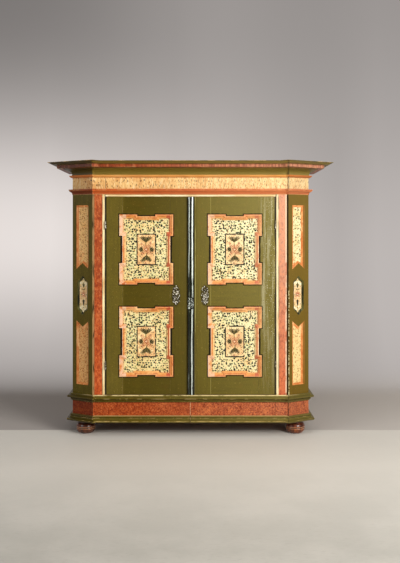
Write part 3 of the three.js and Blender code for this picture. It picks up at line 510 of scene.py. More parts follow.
def door_board(name, along):
    """A green board of a door: a dark line round the mouldings, painted shade about the key plates and in the
    door gap, the left door painted darker as painted shade, and painted sheen with scuffs along the right
    door's hinge side.
    """
    p = Paint(name)
    stretch = {"x": (0.1, 1, 1), "z": (1, 1, 0.1)}[along]
    colour, height = green_layer(p, stretch)
    ax = p.size(p.x)
    left_hinge_side = -0.46
    stile_joint = (0.1370, 0.1392)
    outer_edge = 0.5742
    plate_shade_half_width = 0.027
    plate_shade_half_height = 0.068
    # Painted shade: the left door, further from the light, painted darker
    colour = p.coat(colour, (62, 50, 3), p.within(p.x, left_hinge_side, 0.0, 0.01), 0.38)
    colour = p.coat(colour, (122, 106, 50), p.below(p.x, left_hinge_side, 0.01), 0.25)
    if along == "z":
        streak = p.noise((1, 1, 0.05, 14), 120.0, 4.0, 0.65)
        colour = p.coat(colour, (124, 106, 40), p.spread(streak, 0.58, 0.68), 0.3)
        # Painted sheen with pale scuffs and specks up the right door's hinge stile, stronger higher up and
        # towards its outer edge
        sheen_on_hinge_side = p.both(p.above(p.x, 0.485, 0.012), p.above(p.z, 0.55, 0.45))
        pale = p.patches((1, 1, 0.06, 21), 46.0, 0.45, 0.62, 5.0, 0.7)
        colour = p.coat(colour, (206, 198, 160), sheen_on_hinge_side, pale, 0.38)
        speck = p.flecks(door_plane(p), 0.013, 0.0026, 1.8, 0.35, 24.0)
        outer = p.ramp(p.x, 0.49, 0.575)
        colour = p.coat(colour, (236, 230, 202), sheen_on_hinge_side, speck, p.add(0.2, p.mul(outer, 0.55)))
        dot = p.flecks(door_plane(p), 0.015, 0.0032, 1.5, 0.35, 27.0)
        colour = p.coat(colour, (70, 56, 26), sheen_on_hinge_side, dot, 0.6)
        joint = p.within(ax, *stile_joint, 0.0006)
        colour = p.coat(colour, (178, 164, 92), joint, p.right_half(), 0.7)
        # Painted shadow in the gap along the door's outer edge, broken on the right door
        kept = p.either(p.patches((1, 1, 0.12, 17), 14.0, 0.36, 0.44, 2.0), p.left_half())
        edge = p.both(p.above(ax, outer_edge, 0.0008), kept)
        colour = p.coat(colour, (18, 14, 8), edge, 0.9)
        # Painted shade about the pierced key plates, with grime
        du = p.mul(p.sub(ax, KEY_PLATE_X), 1 / plate_shade_half_width)
        dv = p.mul(p.sub(p.z, KEY_PLATE_Z), 1 / plate_shade_half_height)
        away = p.math("SQRT", p.add(p.mul(du, du), p.mul(dv, dv)))
        ragged = p.mul(p.sub(p.noise((1, 1, 1, 30), 60.0, 3.0), 0.5), 0.5)
        plate_shade_and_grime = p.below(p.add(away, ragged), 1.0, 0.25)
        colour = p.coat(colour, (22, 18, 10), plate_shade_and_grime, 0.9)
    # A dark line round each moulding: painted shadow of the raised moulding, and a black contour
    broken = p.mul(p.sub(p.noise((1, 1, 1, 11), 45.0, 2.0), 0.5), 0.007)
    outline = eared_outline(p, 0.0060, broken)
    colour = p.coat(colour, (14, 12, 8), outline, 0.95)
    return p.finish_board(colour, height, along, 0.44, 0.3, specular=0.15, seen=p.below(p.ny, 0.5, 0.1))


def panel_material(name, side, level):
    """A panel: speckled cream field, with an outlined peach rectangle in the middle."""
    p = Paint(name)
    half_width, half_height = 0.0627, 0.1038
    colour, height = cream_layer(p, door_plane(p), 1.0, shift={"lower": 0.0, "upper": 2.3}[level] + side)
    edge = p.mul(p.sub(p.noise((1, 1, 1, 3), 60.0, 2.0), 0.5), 0.005)
    dx = p.add(p.size(p.sub(p.x, side * PANEL_X)), edge)
    dz = p.add(p.size(p.sub(p.z, PANEL_Z[level])), edge)

    def rectangle(grow):
        return p.both(p.below(dx, half_width + grow), p.below(dz, half_height + grow))

    peach, _ = p.old_paint(*PEACH, along=(1, 1, 1), streaks=60.0, wear=0.56)
    # painted sheen towards the right
    peach = p.coat(peach, (252, 232, 184), p.painted_sheen(), 0.5)
    spots = p.flecks(door_plane(p), 0.017, 0.0030, 1.4, 0.45, 23.0)
    peach = p.coat(peach, (150, 84, 48), spots, 0.8)
    colour = p.mix(rectangle(0.0), colour, peach)
    rim = p.sub(rectangle(0.0047), rectangle(-0.0035))
    worn = p.patches((1, 1, 1, 7), 45.0, 0.68, 0.56, 2.0)
    colour = p.coat(colour, (10, 13, 6), p.math("MAXIMUM", rim, 0.0), worn)
    near = p.either(p.above(dx, 0.152, 0.010), p.above(dz, 0.207, 0.010))
    colour = p.coat(colour, (222, 158, 92), near, 0.4)
    return p.finish_board(colour, height, "z", 0.5, 0.3, seen=p.below(p.ny, 0.5, 0.1))


def ear_material(name, side, level):
    """The orange moulding round a panel: painted highlight and rubbed paint pale on its left, painted shade
    red inside on its right.
    """
    p = Paint(name)
    colour, height = p.old_paint(*ORANGE, along=(1, 1, 1), streaks=60.0, wear=0.6)
    member_start = 0.1375
    slim_end = 0.1478
    red_end = 0.1560
    notch_start = 0.1590
    ear_red_end = 0.1640
    slim_half_height = 0.1110
    proud = p.sub(FRONT, p.y)
    dx = p.sub(p.x, side * PANEL_X)
    reach = p.size(dx)
    dz = p.size(p.sub(p.z, PANEL_Z[level]))
    upright = p.above(reach, member_start, 0.002)
    left = p.both(upright, p.below(dx, 0.0, 0.001))
    right = p.both(upright, p.above(dx, 0.0, 0.001))
    ear = p.above(dz, EAR_SIDE_HALF, 0.002)
    rub = p.patches((1, 1, 1, 4), 26.0, 0.34, 0.5)
    lying = p.rest(upright)
    crest = p.above(dz, 0.2290, 0.002)
    colour = p.coat(colour, (206, 86, 38), lying, crest, rub, 0.6)
    inner = p.below(proud, 0.0035, 0.0015)
    colour = p.coat(colour, (238, 176, 96), inner, 0.55)
    field, _ = cream_layer(p, door_plane(p), 0.6, side)
    slim = p.both(upright, p.below(reach, slim_end, 0.0012), p.below(dz, slim_half_height, 0.0012))
    colour = p.mix(p.mul(slim, 0.9), colour, p.mix(0.4, field, tone(232, 184, 112)))
    # Painted shade: red inside the right-hand members and their slim parts, which face away from the light
    colour = p.coat(colour, (176, 52, 30), right, ear, p.below(dx, ear_red_end, 0.002), 0.85)
    beside = p.within(dx, slim_end, red_end, 0.0012)
    right_slim_shade = p.both(right, beside, p.below(dz, slim_half_height, 0.0012))
    colour = p.coat(colour, (190, 70, 36), right_slim_shade, 0.6)
    notch_edge = p.both(right, p.rest(ear), p.above(dx, notch_start, 0.0012), rub)
    colour = p.coat(colour, (252, 232, 204), notch_edge, 0.8)
    # Painted highlight with rubbed paint: pale on the left-hand ears, which face the light
    colour = p.coat(colour, (240, 210, 184), left, ear, rub, 0.55)
    outer = p.both(left, p.below(p.nx, -0.2, 0.1))
    colour = p.coat(colour, (255, 248, 236), outer, rub, 0.95)
    arris = p.above(proud, 0.0084, 0.0005)
    colour = p.coat(colour, (250, 206, 140), arris, rub, 0.4)
    # painted sheen towards the right
    colour = p.coat(colour, (246, 200, 150), p.painted_sheen(), 0.35)
    return p.finish(colour, 0.4, height, 0.3, specular=0.25)


def iron_material(name, pale=0.0):
    """Old iron, rusted in patches. Where pale is set, it is darkened as painted shade of the pierced work,
    shows green through it, and is rubbed bright in small dots, which are partly painted glints.
    """
    p = Paint(name)
    cloud = p.noise((1, 1, 1), 60.0, 4.0, 0.65)
    fine = p.noise((1, 1, 1, 3), 420.0, 3.0)
    colour = p.mix(p.spread(cloud, 0.42, 0.62), tone(70, 58, 46), tone(206, 198, 180))
    rust = p.patches((1, 1, 1, 6), 130.0, 0.58, 0.68)
    colour = p.coat(colour, (112, 66, 38), rust, 0.7)
    dark = p.mix(p.spread(fine, 0.4, 0.6), tone(26, 20, 12), tone(64, 50, 30))
    # painted shade: the iron darkened as in the hollows of pierced work
    colour = p.mix(pale, colour, dark)
    turned = p.combine(p.add(p.x, p.z), p.sub(p.z, p.x))
    dots = p.flecks(turned, 0.0145, 0.0062, 1.7, 0.72, 5.0)
    pierced = p.patches((1, 1, 1, 44), 105.0, 0.49, 0.54, 2.0, 0.5)
    colour = p.coat(colour, (88, 76, 20), pierced, pale)
    # bright dots: rubbed metal and painted glints
    colour = p.coat(colour, (250, 244, 226), dots, pale)
    rough = p.blend(p.spread(cloud, 0.4, 0.65), 0.55, 0.24)
    metal = p.mul(p.rest(p.mul(rust, 0.7)), 1.0 - 0.8 * pale)
    return p.finish(colour, rough, p.add(cloud, p.mul(fine, 0.5)), 0.35, 0.0006, metal=metal)


def crown_material(name):
    """Green top member over a red band that is combed with dark upright marks."""
    p = Paint(name)
    green, height = green_layer(p, (0.1, 0.1, 1))
    green = p.coat(green, (150, 122, 48), 0.45)
    red, _ = red_layer(p, (1, 1, 0.3), 0.0, 0.4)
    comb = p.noise((1, 1, 0.05, 5), 110.0, 3.0, 0.6)
    red = p.coat(red, (104, 44, 26), p.spread(comb, 0.46, 0.60), 0.62)
    red = p.coat(red, (236, 168, 116), p.spread(comb, 0.46, 0.36), 0.30)
    colour = p.mix(p.below(p.z, CROWN_BAND_TOP, 0.0008), green, red)
    line = p.within(p.z, *CROWN_LINE, 0.0008)
    colour = p.coat(colour, (50, 22, 12), line, 0.8)
    # painted shade and dirt on the canted faces, most on the left
    colour = corner_shade_and_dirt(p, colour, cornice_share(p), CORNICE_SHADE_AND_DIRT)
    # painted shadow along the right-hand prow
    colour = prow_shadow(p, colour)
    colour, height, rough = p.wood_behind(colour, height, "x", 0.5)
    dusty, _ = p.pine("x")
    up = p.above(p.nz, 0.9, 0.05)
    colour = p.mix(up, colour, p.mix(0.45, dusty, tone(120, 108, 88)))
    return p.finish(colour, p.blend(up, rough, 0.85), height, 0.3)


def cove_material(name):
    """Green hollow with an orange fillet under it."""
    p = Paint(name)
    green, height = green_layer(p, (0.1, 0.1, 1), 2.0)
    green = p.coat(green, (148, 124, 48), 0.65)
    # painted shade and dirt on the canted faces, most on the left
    green = corner_shade_and_dirt(p, green, cornice_share(p), CORNICE_SHADE_AND_DIRT)
    orange, _ = p.old_paint(*ORANGE, along=(0.2, 0.2, 1), streaks=50.0, wear=0.62)
    orange = p.coat(orange, (240, 178, 96), 0.55)
    # painted shade on the canted part of the fillet
    orange = corner_shade_and_dirt(p, orange, 0.75, (0.60, 0.30, 0.22, 1))
    colour = p.mix(p.below(p.z, FILLET_TOP, 0.0008), green, orange)
    # painted shadow along the right-hand prow
    colour = prow_shadow(p, colour)
    return p.finish_board(colour, height, "x", 0.45, 0.3)


def frieze_material(name):
    """Cream boards with upright dabs, closely set."""
    p = Paint(name)
    spread_x = p.add(p.x, p.mul(p.y, 0.6))
    cloud = p.noise((1, 1, 0.5), 14.0, 4.0, 0.6)
    colour = p.mix(p.spread(cloud, 0.3, 0.68), tone(218, 160, 90), tone(244, 202, 132))
    # painted sheen towards the right
    colour = p.coat(colour, (252, 226, 166), p.painted_sheen(), 0.6)
    upright = p.noise((1, 1, 0.16, 3), 110.0, 3.0, 0.6, 0.5)
    colour = p.coat(colour, (255, 236, 186), p.spread(upright, 0.52, 0.62), 0.5)
    colour = p.coat(colour, (206, 140, 76), p.spread(upright, 0.46, 0.36), 0.42)
    plane = p.combine(p.mul(spread_x, 1.5), p.mul(p.z, 0.55))
    colour = p.coat(colour, (184, 116, 52), p.flecks(plane, 0.013, 0.0042, 1.6, 0.7, 4.0), 0.65)
    # dark dabs, more of them towards the left
    more_dabs_on_left = p.ramp(p.x, 0.25, -0.55)
    dabs = p.flecks(plane, 0.018, 0.0050, 1.8, 0.45, 9.0)
    colour = p.coat(colour, (96, 58, 22), dabs, p.add(0.60, p.mul(more_dabs_on_left, 0.35)))
    edge = p.either(p.below(p.z, FRIEZE_EDGES[0], 0.002), p.above(p.z, FRIEZE_EDGES[1], 0.002))
    colour = p.coat(colour, (196, 112, 54), edge, 0.5)
    joint = p.both(p.within(p.x, *FRIEZE_JOINT, 0.0006), p.within(p.z, *FRIEZE_JOINT_Z, 0.004))
    colour = p.coat(colour, (40, 24, 14), joint, 0.9)
    # painted shade and dirt on the canted faces, more on the left
    colour = corner_shade_and_dirt(p, colour, p.add(0.34, p.mul(p.left_half(), 0.28)))
    # painted shadow along the right-hand prow
    colour = prow_shadow(p, colour)
    return p.finish_board(colour, p.add(upright, cloud), "x", 0.52, 0.35)


def neck_material(name):
    """Red moulding with a dark line in its lower hollow."""
    p = Paint(name)
    colour, height = red_layer(p, (0.2, 0.2, 1), 1.0, 0.2)
    colour = p.coat(colour, (226, 112, 44), 0.5)
    # painted sheen towards the right
    colour = p.coat(colour, (246, 160, 104), p.painted_sheen(), 0.4)
    colour = p.coat(colour, (150, 52, 16), p.below(p.z, NECK_HOLLOW, 0.003), 0.45)
    line = p.below(p.z, NECK_LINE, 0.0010)
    colour = p.coat(colour, (236, 190, 120), line, 0.6)
    # painted shade and dirt on the canted faces, most on the left
    colour = corner_shade_and_dirt(p, colour, cornice_share(p), CORNICE_SHADE_AND_DIRT)
    colour = p.coat(colour, (220, 160, 100), prow_line(p, 0.0014), 0.5)
    return p.finish_board(colour, height, "x", 0.45, 0.3)


def waist_material(name):
    """Green moulding whose top arris is rubbed back to the cream ground."""
    p = Paint(name)
    colour, height = green_layer(p, (0.1, 0.1, 1), 4.0)
    rub = p.patches((0.4, 0.4, 1, 6), 26.0, 0.36, 0.5, 4.0, 0.65)
    arris = p.both(p.above(p.z, WAIST_ARRIS, 0.0012), p.below(p.y, FRONT + 0.02, 0.004), rub)
    clean = p.rest(p.mul(p.canted(), 0.85))
    left = p.left_half()
    colour = p.coat(colour, (236, 212, 152), arris, clean, 0.85)
    nose = p.both(p.within(p.z, *WAIST_NOSE, 0.0012), p.patches((1, 1, 1, 8), 18.0, 0.5, 0.62, 4.0))
    colour = p.coat(colour, (196, 172, 112), nose, clean, 0.6)
    shadow = p.both(p.within(p.z, *WAIST_SHADOW, 0.0010), p.patches((1, 1, 1, 9), 12.0, 0.42, 0.56))
    colour = p.coat(colour, (40, 32, 8), shadow, 0.55)
    # painted shade and dirt on the canted faces, more on the left
    colour = corner_shade_and_dirt(p, colour, p.add(0.45, p.mul(left, 0.40)))
    # painted shade along the prow
    colour = p.coat(colour, (44, 34, 12), prow_line(p, 0.0024), 0.75)
    return p.finish_board(colour, height, "x", 0.42, 0.3, specular=0.2)


def base_material(name):
    """Green moulding at the foot, rubbed along its nose."""
    p = Paint(name)
    colour, height = green_layer(p, (0.1, 0.1, 1), 7.0)
    nose = p.both(p.within(p.z, *BASE_NOSE, 0.0015), p.patches((1, 1, 1, 8), 18.0, 0.42, 0.6, 4.0))
    clean = p.rest(p.mul(p.canted(), 0.85))
    left = p.left_half()
    colour = p.coat(colour, (186, 160, 96), nose, clean, 0.6)
    line = p.within(p.z, *BASE_LINE, 0.0008)
    colour = p.coat(colour, (214, 176, 120), line, clean, 0.6)
    colour = p.coat(colour, (24, 18, 8), p.within(p.x, *BASE_PARTING, 0.0005), 0.9)
    # painted shade and dirt on the canted faces, more on the left
    colour = corner_shade_and_dirt(p, colour, p.add(0.45, p.mul(left, 0.40)))
    # painted shade along the prow
    colour = p.coat(colour, (44, 34, 12), prow_line(p, 0.0024), 0.75)
    return p.finish_board(colour, height, "x", 0.42, 0.3, specular=0.2)


def plinth_material(name):
    """Red boards, stippled all over, darker along the top, and darker on the left half as painted shade."""
    p = Paint(name)
    colour, height = red_layer(p, (1, 1, 0.8), 2.0, 0.35)
    stipple = p.noise((1, 1, 1, 5), 95.0, 3.0, 0.6, 0.8)
    colour = p.coat(colour, (228, 134, 72), p.spread(stipple, 0.53, 0.60), 0.4)
    colour = p.coat(colour, (104, 32, 10), p.spread(stipple, 0.46, 0.39), 0.7)
    blotch = p.patches((1, 1, 1, 19), 30.0, 0.54, 0.64, 4.0, 0.7)
    colour = p.coat(colour, (120, 40, 14), blotch, 0.35)
    colour = p.coat(colour, (74, 30, 14), p.above(p.z, PLINTH_DARK_TOP, 0.0020), 0.75)
    parting = p.both(p.within(p.x, *PLINTH_PARTING, 0.0005), p.spread(stipple, 0.38, 0.46))
    colour = p.coat(colour, (240, 208, 160), parting, 0.8)
    crack = p.both(p.within(p.x, *PLINTH_CRACK, 0.0005), p.below(p.ny, -0.5, 0.1))
    colour = p.coat(colour, (44, 22, 14), crack, 0.85)
    # Painted shade: the left half, further from the light, darker
    left = p.left_half()
    colour = p.coat(colour, (136, 50, 14), left, 0.22)
    # painted shade and dirt on the canted faces, more on the left
    colour = corner_shade_and_dirt(p, colour, p.add(0.30, p.mul(left, 0.60)), (0.38, 0.30, 0.16, 1))
    # painted shade along the prow
    colour = p.coat(colour, (48, 24, 12), prow_line(p, 0.0026), 0.8)
    return p.finish_board(colour, height, "x", 0.48, 0.35, specular=0.15)


def stile_material(name):
    """Front stile: red face, the bevel round the door opening in cream, and painted shadow in the gap and the
    rebate.
    """
    p = Paint(name)
    red, height = red_layer(p, (1, 1, 0.45), 5.0, 0.66)
    warm = p.ramp(p.z, 1.1, 0.35)
    red = p.coat(red, (202, 84, 24), warm, 0.5)
    dash = p.noise((1, 1, 0.55, 41), 95.0, 3.0, 0.6)
    # fewer dark dashes where the painted sheen lies
    less_sheen = p.rest(p.mul(p.painted_sheen(), 0.62))
    red = p.coat(red, (126, 40, 14), p.spread(dash, 0.47, 0.38), less_sheen, 0.6)
    red = p.coat(red, (232, 140, 84), p.spread(dash, 0.54, 0.62), 0.35)
    ax = p.size(p.x)
    cream = p.mix(p.patches((1, 1, 0.2, 4), 30.0, 0.3, 0.6, 4.0), tone(206, 162, 96), tone(244, 224, 170))
    # painted sheen on the cream bevel towards the right
    cream_sheen = p.mul(p.painted_sheen(), 0.6)
    cream = p.coat(cream, (252, 240, 200), cream_sheen)
    broken = p.patches((1, 1, 0.22, 7), 34.0, 0.42, 0.5, 2.0)
    rebate_edge = 0.5880
    bevel_edge = 0.6020
    bevel_gap = (0.6016, 0.6056)
    outer_edge = 0.6500
    # Painted shadow: a broken dark line at the door gap, and the rebate inside the opening near black
    gap_shadow = p.mul(p.within(ax, *bevel_gap, 0.0005), broken)
    colour = p.mix(p.below(ax, bevel_edge, 0.0006), red, cream)
    colour = p.coat(colour, (48, 20, 12), gap_shadow, 0.9)
    colour = p.coat(colour, (20, 14, 8), p.below(ax, rebate_edge, 0.0008), 0.92)
    rub = p.patches((1, 1, 0.4, 2), 22.0, 0.35, 0.5)
    outer = p.both(p.above(p.x, outer_edge, 0.0012), rub)
    colour = p.coat(colour, (252, 222, 186), outer, 0.8)
    return p.finish_board(colour, height, "z", 0.45, 0.35, seen=p.below(p.ny, 0.5, 0.1))


def head_material(name):
    """The rail over the doors: red, with a cream band."""
    p = Paint(name)
    streak = p.patches((0.2, 1, 1, 4), 30.0, 0.35, 0.65, 4.0)
    cream = p.mix(streak, tone(232, 196, 128), tone(254, 242, 196))
    red, height = red_layer(p, (0.3, 1, 1), 5.0)
    colour = p.mix(p.within(p.z, *HEAD_CREAM, 0.0008), red, cream)
    return p.finish_board(colour, height, "x", 0.45, 0.35, seen=p.below(p.ny, -0.5, 0.1))


def corner_material(name):
    """The canted corner: green board, orange bevels round the sunk fields, speckled cream inside, painted
    shade on the bevels that face away from the light, and a lit and a shaded copy of the return's paint.
    """
    p = Paint(name)
    ax = p.size(p.x)
    rx = p.sub(HALF_BODY, ax)
    ry = p.sub(p.y, CANT_START_Y)
    depth = p.add(p.mul(rx, CANT_SIN), p.mul(ry, CANT_COS))
    along = p.sub(p.mul(rx, CANT_COS), p.mul(ry, CANT_SIN))
    green, height = green_layer(p, (1, 1, 0.1), 3.0, 0.25)
    left, right = p.left_half(), p.right_half()
    green = p.coat(green, (116, 82, 8), right, 0.5)
    cut_span = (0.028, 0.144)
    surface = 0.0006
    field_floor = 0.0112
    cartouche_floor = 0.0108
    deepest = 0.0135
    near_bevel = 0.0110
    far_bevel = 0.0095
    orange_strip = 0.0260
    board_edge = 0.1705
    field_z = p.either(p.within(p.z, *LOWER_FIELD_Z), p.within(p.z, *UPPER_FIELD_Z))
    over = p.both(p.within(along, *cut_span), p.below(depth, deepest))
    sunk = p.both(p.above(depth, surface, 0.0003), over, field_z)
    floor = p.both(p.above(depth, field_floor, 0.0004), over, field_z)
    # Painted shade on the bevel of each field that faces away from the light
    shaded_far_bevel = p.both(right, p.below(along, FIELD_NEAR + near_bevel, 0.0008))
    shaded_far_bevel = p.either(shaded_far_bevel, p.both(left, p.above(along, FIELD_FAR - far_bevel, 0.0008)))
    orange, _ = p.old_paint(*FIELD_ORANGE, along=(1, 1, 0.5), streaks=50.0, wear=0.58)
    cream, _ = cream_layer(p, p.combine(along, p.z), 0.62, 5.0)
    coral = p.patches((1, 1, 0.7, 13), 34.0, 0.5, 0.62, 3.0, 0.6)
    near_cartouche = p.either(p.within(p.z, 0.66, 0.80, 0.06), p.within(p.z, 1.12, 1.24, 0.06))
    cream = p.coat(cream, (226, 130, 78), p.both(coral, near_cartouche), 0.7)
    low = p.below(p.z, 0.80, 0.02)
    cream = p.coat(cream, (212, 134, 66), left, p.add(0.08, p.mul(low, 0.42)))
    cream = p.coat(cream, (236, 160, 92), low, 0.32)
    cream = p.coat(cream, (246, 214, 138), right, p.add(0.22, p.mul(low, 0.18)))
    cream = p.coat(cream, (255, 184, 112), left, p.rest(low), 0.50)
    brown = p.flecks(p.combine(along, p.z), 0.0105, 0.0034, 2.4, 0.75, 61.0)
    cream = p.coat(cream, (112, 64, 14), left, brown, 0.85)
    cream = p.mix(p.both(right, p.below(along, FIELD_NEAR + orange_strip, 0.0010)), cream, orange)
    colour = p.mix(sunk, green, orange)
    colour = p.mix(floor, colour, cream)
    # painted shade on those bevels
    colour = p.mix(p.both(sunk, shaded_far_bevel, 0.85), colour, p.mix(left, tone(120, 84, 20), tone(50, 48, 22)))
    oval_z = p.within(p.z, *CARTOUCHE_SPAN)
    sunk_oval = p.both(p.above(depth, surface, 0.0003), over, oval_z)
    floor_oval = p.both(p.above(depth, cartouche_floor, 0.0006), over, oval_z)
    pale = p.mix(p.patches((1, 1, 1, 5), 60.0, 0.4, 0.62), tone(222, 192, 134), tone(250, 238, 202))
    middle = p.below(p.size(p.sub(p.z, CARTOUCHE_Z)), 0.062, 0.02)
    pale = p.coat(pale, (236, 186, 128), middle, 0.6)
    shade = p.mix(p.patches((1, 1, 0.2, 16), 70.0, 0.4, 0.6), tone(20, 22, 10), tone(88, 84, 44))
    colour = p.mix(sunk_oval, colour, shade)
    colour = p.mix(floor_oval, colour, pale)
    # painted shade and dirt on the canted faces, more on the left
    colour = corner_shade_and_dirt(p, colour, p.add(0.16, p.mul(left, 0.24)), (0.38, 0.34, 0.26, 1))
    turn = p.both(p.above(along, board_edge, 0.0008), p.below(p.ny, 0.2, 0.1), p.below(depth, 0.0145))
    rub = p.patches((1, 1, 0.3, 2), 30.0, 0.3, 0.55)
    # The return strip at each prow: a lit copy of its paint on the left, a shaded copy on the right
    return_light_and_shade = p.mix(right, tone(160, 124, 80), tone(58, 43, 6))
    colour = p.mix(turn, colour, p.mix(rub, tone(56, 40, 12), return_light_and_shade))
    worn = p.both(p.within(along, 0.1650, 0.1712, 0.0008), right, p.below(p.z, 1.06, 0.12))
    worn = p.both(worn, p.below(depth, 0.001, 0.0005))
    dots = p.patches((1, 1, 1, 2), 95.0, 0.47, 0.56, 2.0)
    colour = p.coat(colour, (240, 226, 170), worn, rub, dots, 0.85)
    return p.finish_board(colour, height, "z", 0.46, 0.3, specular=0.15)


def strip_material(name):
    """The cover strip: black-green varnish, glossy, with pale streaks along its rolls that are painted
    highlights and paint worn down to a pale ground.
    """
    p = Paint(name)
    grain = p.noise((1, 1, 0.06), 60.0, 4.0, 0.6, 0.5)
    colour = p.mix(p.spread(grain, 0.35, 0.65), tone(6, 9, 6), tone(30, 36, 16))
    worn = p.noise((1, 1, 0.05, 4), 60.0, 4.0, 0.65)
    high = p.ramp(p.z, 0.25, 1.30)
    scroll_span = (0.868, 0.945)
    left_streak_span = (-0.0120, -0.0062)
    right_streak_span = (0.0088, 0.0172)
    bare_edge = 0.0275
    pale_edge = 0.0318
    scroll = p.within(p.z, *scroll_span, 0.006)
    broken = p.mul(scroll, 0.16)
    proud = p.above(p.sub(FRONT, p.y), 0.014, 0.003)
    # the painted highlights follow where the highlight wanders, further right lower down
    shift = p.mul(p.ramp(p.z, 0.95, 0.60), 0.0030)
    wave = p.noise((1, 1, 0.25, 8), 22.0, 2.0)
    x = p.add(p.add(p.x, shift), p.mul(p.sub(wave, 0.5), 0.010))

    def painted_streak(span, more, least):
        """1 along a roll where a pale streak is painted, and more of it higher up."""
        wear = p.sub(p.add(worn, p.mul(high, more)), broken)
        return p.both(p.within(x, *span, 0.0010), p.above(wear, least, 0.03))

    # Painted highlights with wear: pale streaks along both rolls
    left_streak = painted_streak(left_streak_span, 0.14, 0.58)
    right_streak = painted_streak(right_streak_span, 0.10, 0.46)
    colour = p.coat(colour, (186, 194, 184), left_streak, p.blend(high, 0.3, 0.8))
    colour = p.coat(colour, (232, 240, 230), right_streak, p.blend(high, 0.7, 0.95))
    curl = p.patches((1, 1, 1, 15), 55.0, 0.52, 0.56, 1.0, 0.5, 2.0)
    colour = p.coat(colour, (214, 220, 210), scroll, curl, proud, 0.85)
    mottle = p.both(p.patches((1, 1, 0.3, 9), 70.0, 0.58, 0.66, 3.0, 0.7), proud)
    colour = p.coat(colour, (110, 112, 92), mottle, 0.5)
    flat = p.below(p.sub(FRONT, p.y), 0.010, 0.0008)
    green, _ = green_layer(p, (1, 1, 0.1))
    colour = p.mix(p.both(flat, p.above(p.x, bare_edge, 0.001)), colour, green)
    pale = p.both(flat, p.above(p.x, pale_edge, 0.0006), p.spread(worn, 0.44, 0.52))
    colour = p.coat(colour, (196, 190, 120), pale, 0.6)
    height = p.add(wave, p.mul(grain, 0.2))
    return p.finish(colour, 0.24, height, 0.6, 0.002, coat=0.3, coat_rough=0.12, specular=0.4)


def foot_material(name):
    """Brown varnish with painted light and shade: darker above, under the plinth, and on the left half, with
    a painted highlight ring and painted shade at each turned groove.
    """
    p = Paint(name)
    grain = p.noise((1, 1, 0.25), 40.0, 5.0, 0.6, 0.8)
    # lighter low bulge and darker top, under the plinth: painted light and shade
    low = p.within(p.z, 0.012, 0.046, 0.010)
    dark = p.mix(p.spread(grain, 0.36, 0.62), tone(58, 24, 12), tone(122, 62, 40))
    light = p.mix(p.spread(grain, 0.36, 0.62), tone(64, 28, 12), tone(134, 70, 34))
    colour = p.mix(low, dark, light)
    cloud = p.noise((1, 1, 1, 3), 12.0, 4.0)
    colour = p.coat(colour, (140, 82, 54), p.spread(cloud, 0.5, 0.7), 0.3)
    # Painted shade on the left half of each foot
    colour = p.coat(colour, (34, 15, 9), p.left_half(), 0.5)
    ring_highlight = p.either(*(p.within(p.z, *place) for place in FOOT_HIGHLIGHT_RINGS))
    colour = p.coat(colour, (206, 144, 100), ring_highlight, 0.6)
    groove_shade = p.either(*(p.within(p.z, *place) for place in FOOT_GROOVE_SHADES))
    colour = p.coat(colour, (18, 9, 6), groove_shade, 0.85)
    return p.finish(colour, 0.3, p.add(grain, cloud), 0.25, 0.001, coat=0.25, coat_rough=0.16, specular=0.4)


def pine_material(name):
    """Bare lying boards, dirty in places."""
    p = Paint(name)
    colour, height = p.pine("x")
    dirt = p.patches((1, 1, 1, 12), 7.0, 0.52, 0.72, 5.0, 0.65)
    colour = p.coat(colour, (92, 72, 50), dirt, 0.45)
    return p.finish(colour, 0.8, height, 0.35)


def plank_material(name, width):
    """Upright pine planks, each with grain of its own, and the open joints between them."""
    p = Paint(name)
    plank = p.math("FLOOR", p.mul(p.x, 1 / width))
    across = p.size(p.sub(p.x, p.mul(p.add(plank, 0.5), width)))
    steps = ((p.x, 0.83), (p.y, 0.37), (p.z, 1.9))
    p.place = p.combine(*(p.add(axis, p.mul(plank, step)) for axis, step in steps))
    colour, height = p.pine("z")
    tint = p.spread(p.noise(p.combine(plank, 0.5), 1.7, 0.0), 0.3, 0.7)
    colour = p.coat(colour, (128, 98, 64), tint, 0.35)
    joint = p.above(across, width / 2 - 0.0012, 0.0006)
    colour = p.coat(colour, (34, 22, 12), joint, 0.92)
    return p.finish(colour, 0.8, p.sub(height, p.mul(joint, 3.0)), 0.4)


def worn_edge_material(name, tint):
    """The rubbed arris of a painted board: paint with the pale ground showing through in places."""
    p = Paint(name)
    base, height = p.old_paint(*tint, along=(1, 1, 1), streaks=40.0, wear=0.6)
    rub = p.patches((1, 1, 1, 5), 16.0, 0.47, 0.6, 5.0, 0.7)
    return p.finish(p.mix(rub, base, tone(206, 168, 108)), 0.5, height, 0.3)


# Modifiers that soften the arrises of a CAD node without touching its mesh
def smooth_group():
    group = bpy.data.node_groups.new("smooth_shallow_edges", "GeometryNodeTree")
    group.interface.new_socket("Geometry", in_out="INPUT", socket_type="NodeSocketGeometry")
    group.interface.new_socket("Geometry", in_out="OUTPUT", socket_type="NodeSocketGeometry")
    start = group.nodes.new("NodeGroupInput")
    end = group.nodes.new("NodeGroupOutput")
    faces = group.nodes.new("GeometryNodeSetShadeSmooth")
    faces.domain = "FACE"
    faces.inputs["Shade Smooth"].default_value = True
    edges = group.nodes.new("GeometryNodeSetShadeSmooth")
    edges.domain = "EDGE"
    angle = group.nodes.new("GeometryNodeInputMeshEdgeAngle")
    compare = group.nodes.new("FunctionNodeCompare")
    compare.data_type = "FLOAT"
    compare.operation = "LESS_THAN"
    compare.inputs[1].default_value = math.radians(38)
    link = group.links.new
    link(start.outputs[0], faces.inputs["Geometry"])
    link(faces.outputs[0], edges.inputs["Geometry"])
    link(angle.outputs["Unsigned Angle"], compare.inputs[0])
    link(compare.outputs[0], edges.inputs["Shade Smooth"])
    link(edges.outputs[0], end.inputs[0])
    return group


SMOOTH = smooth_group()


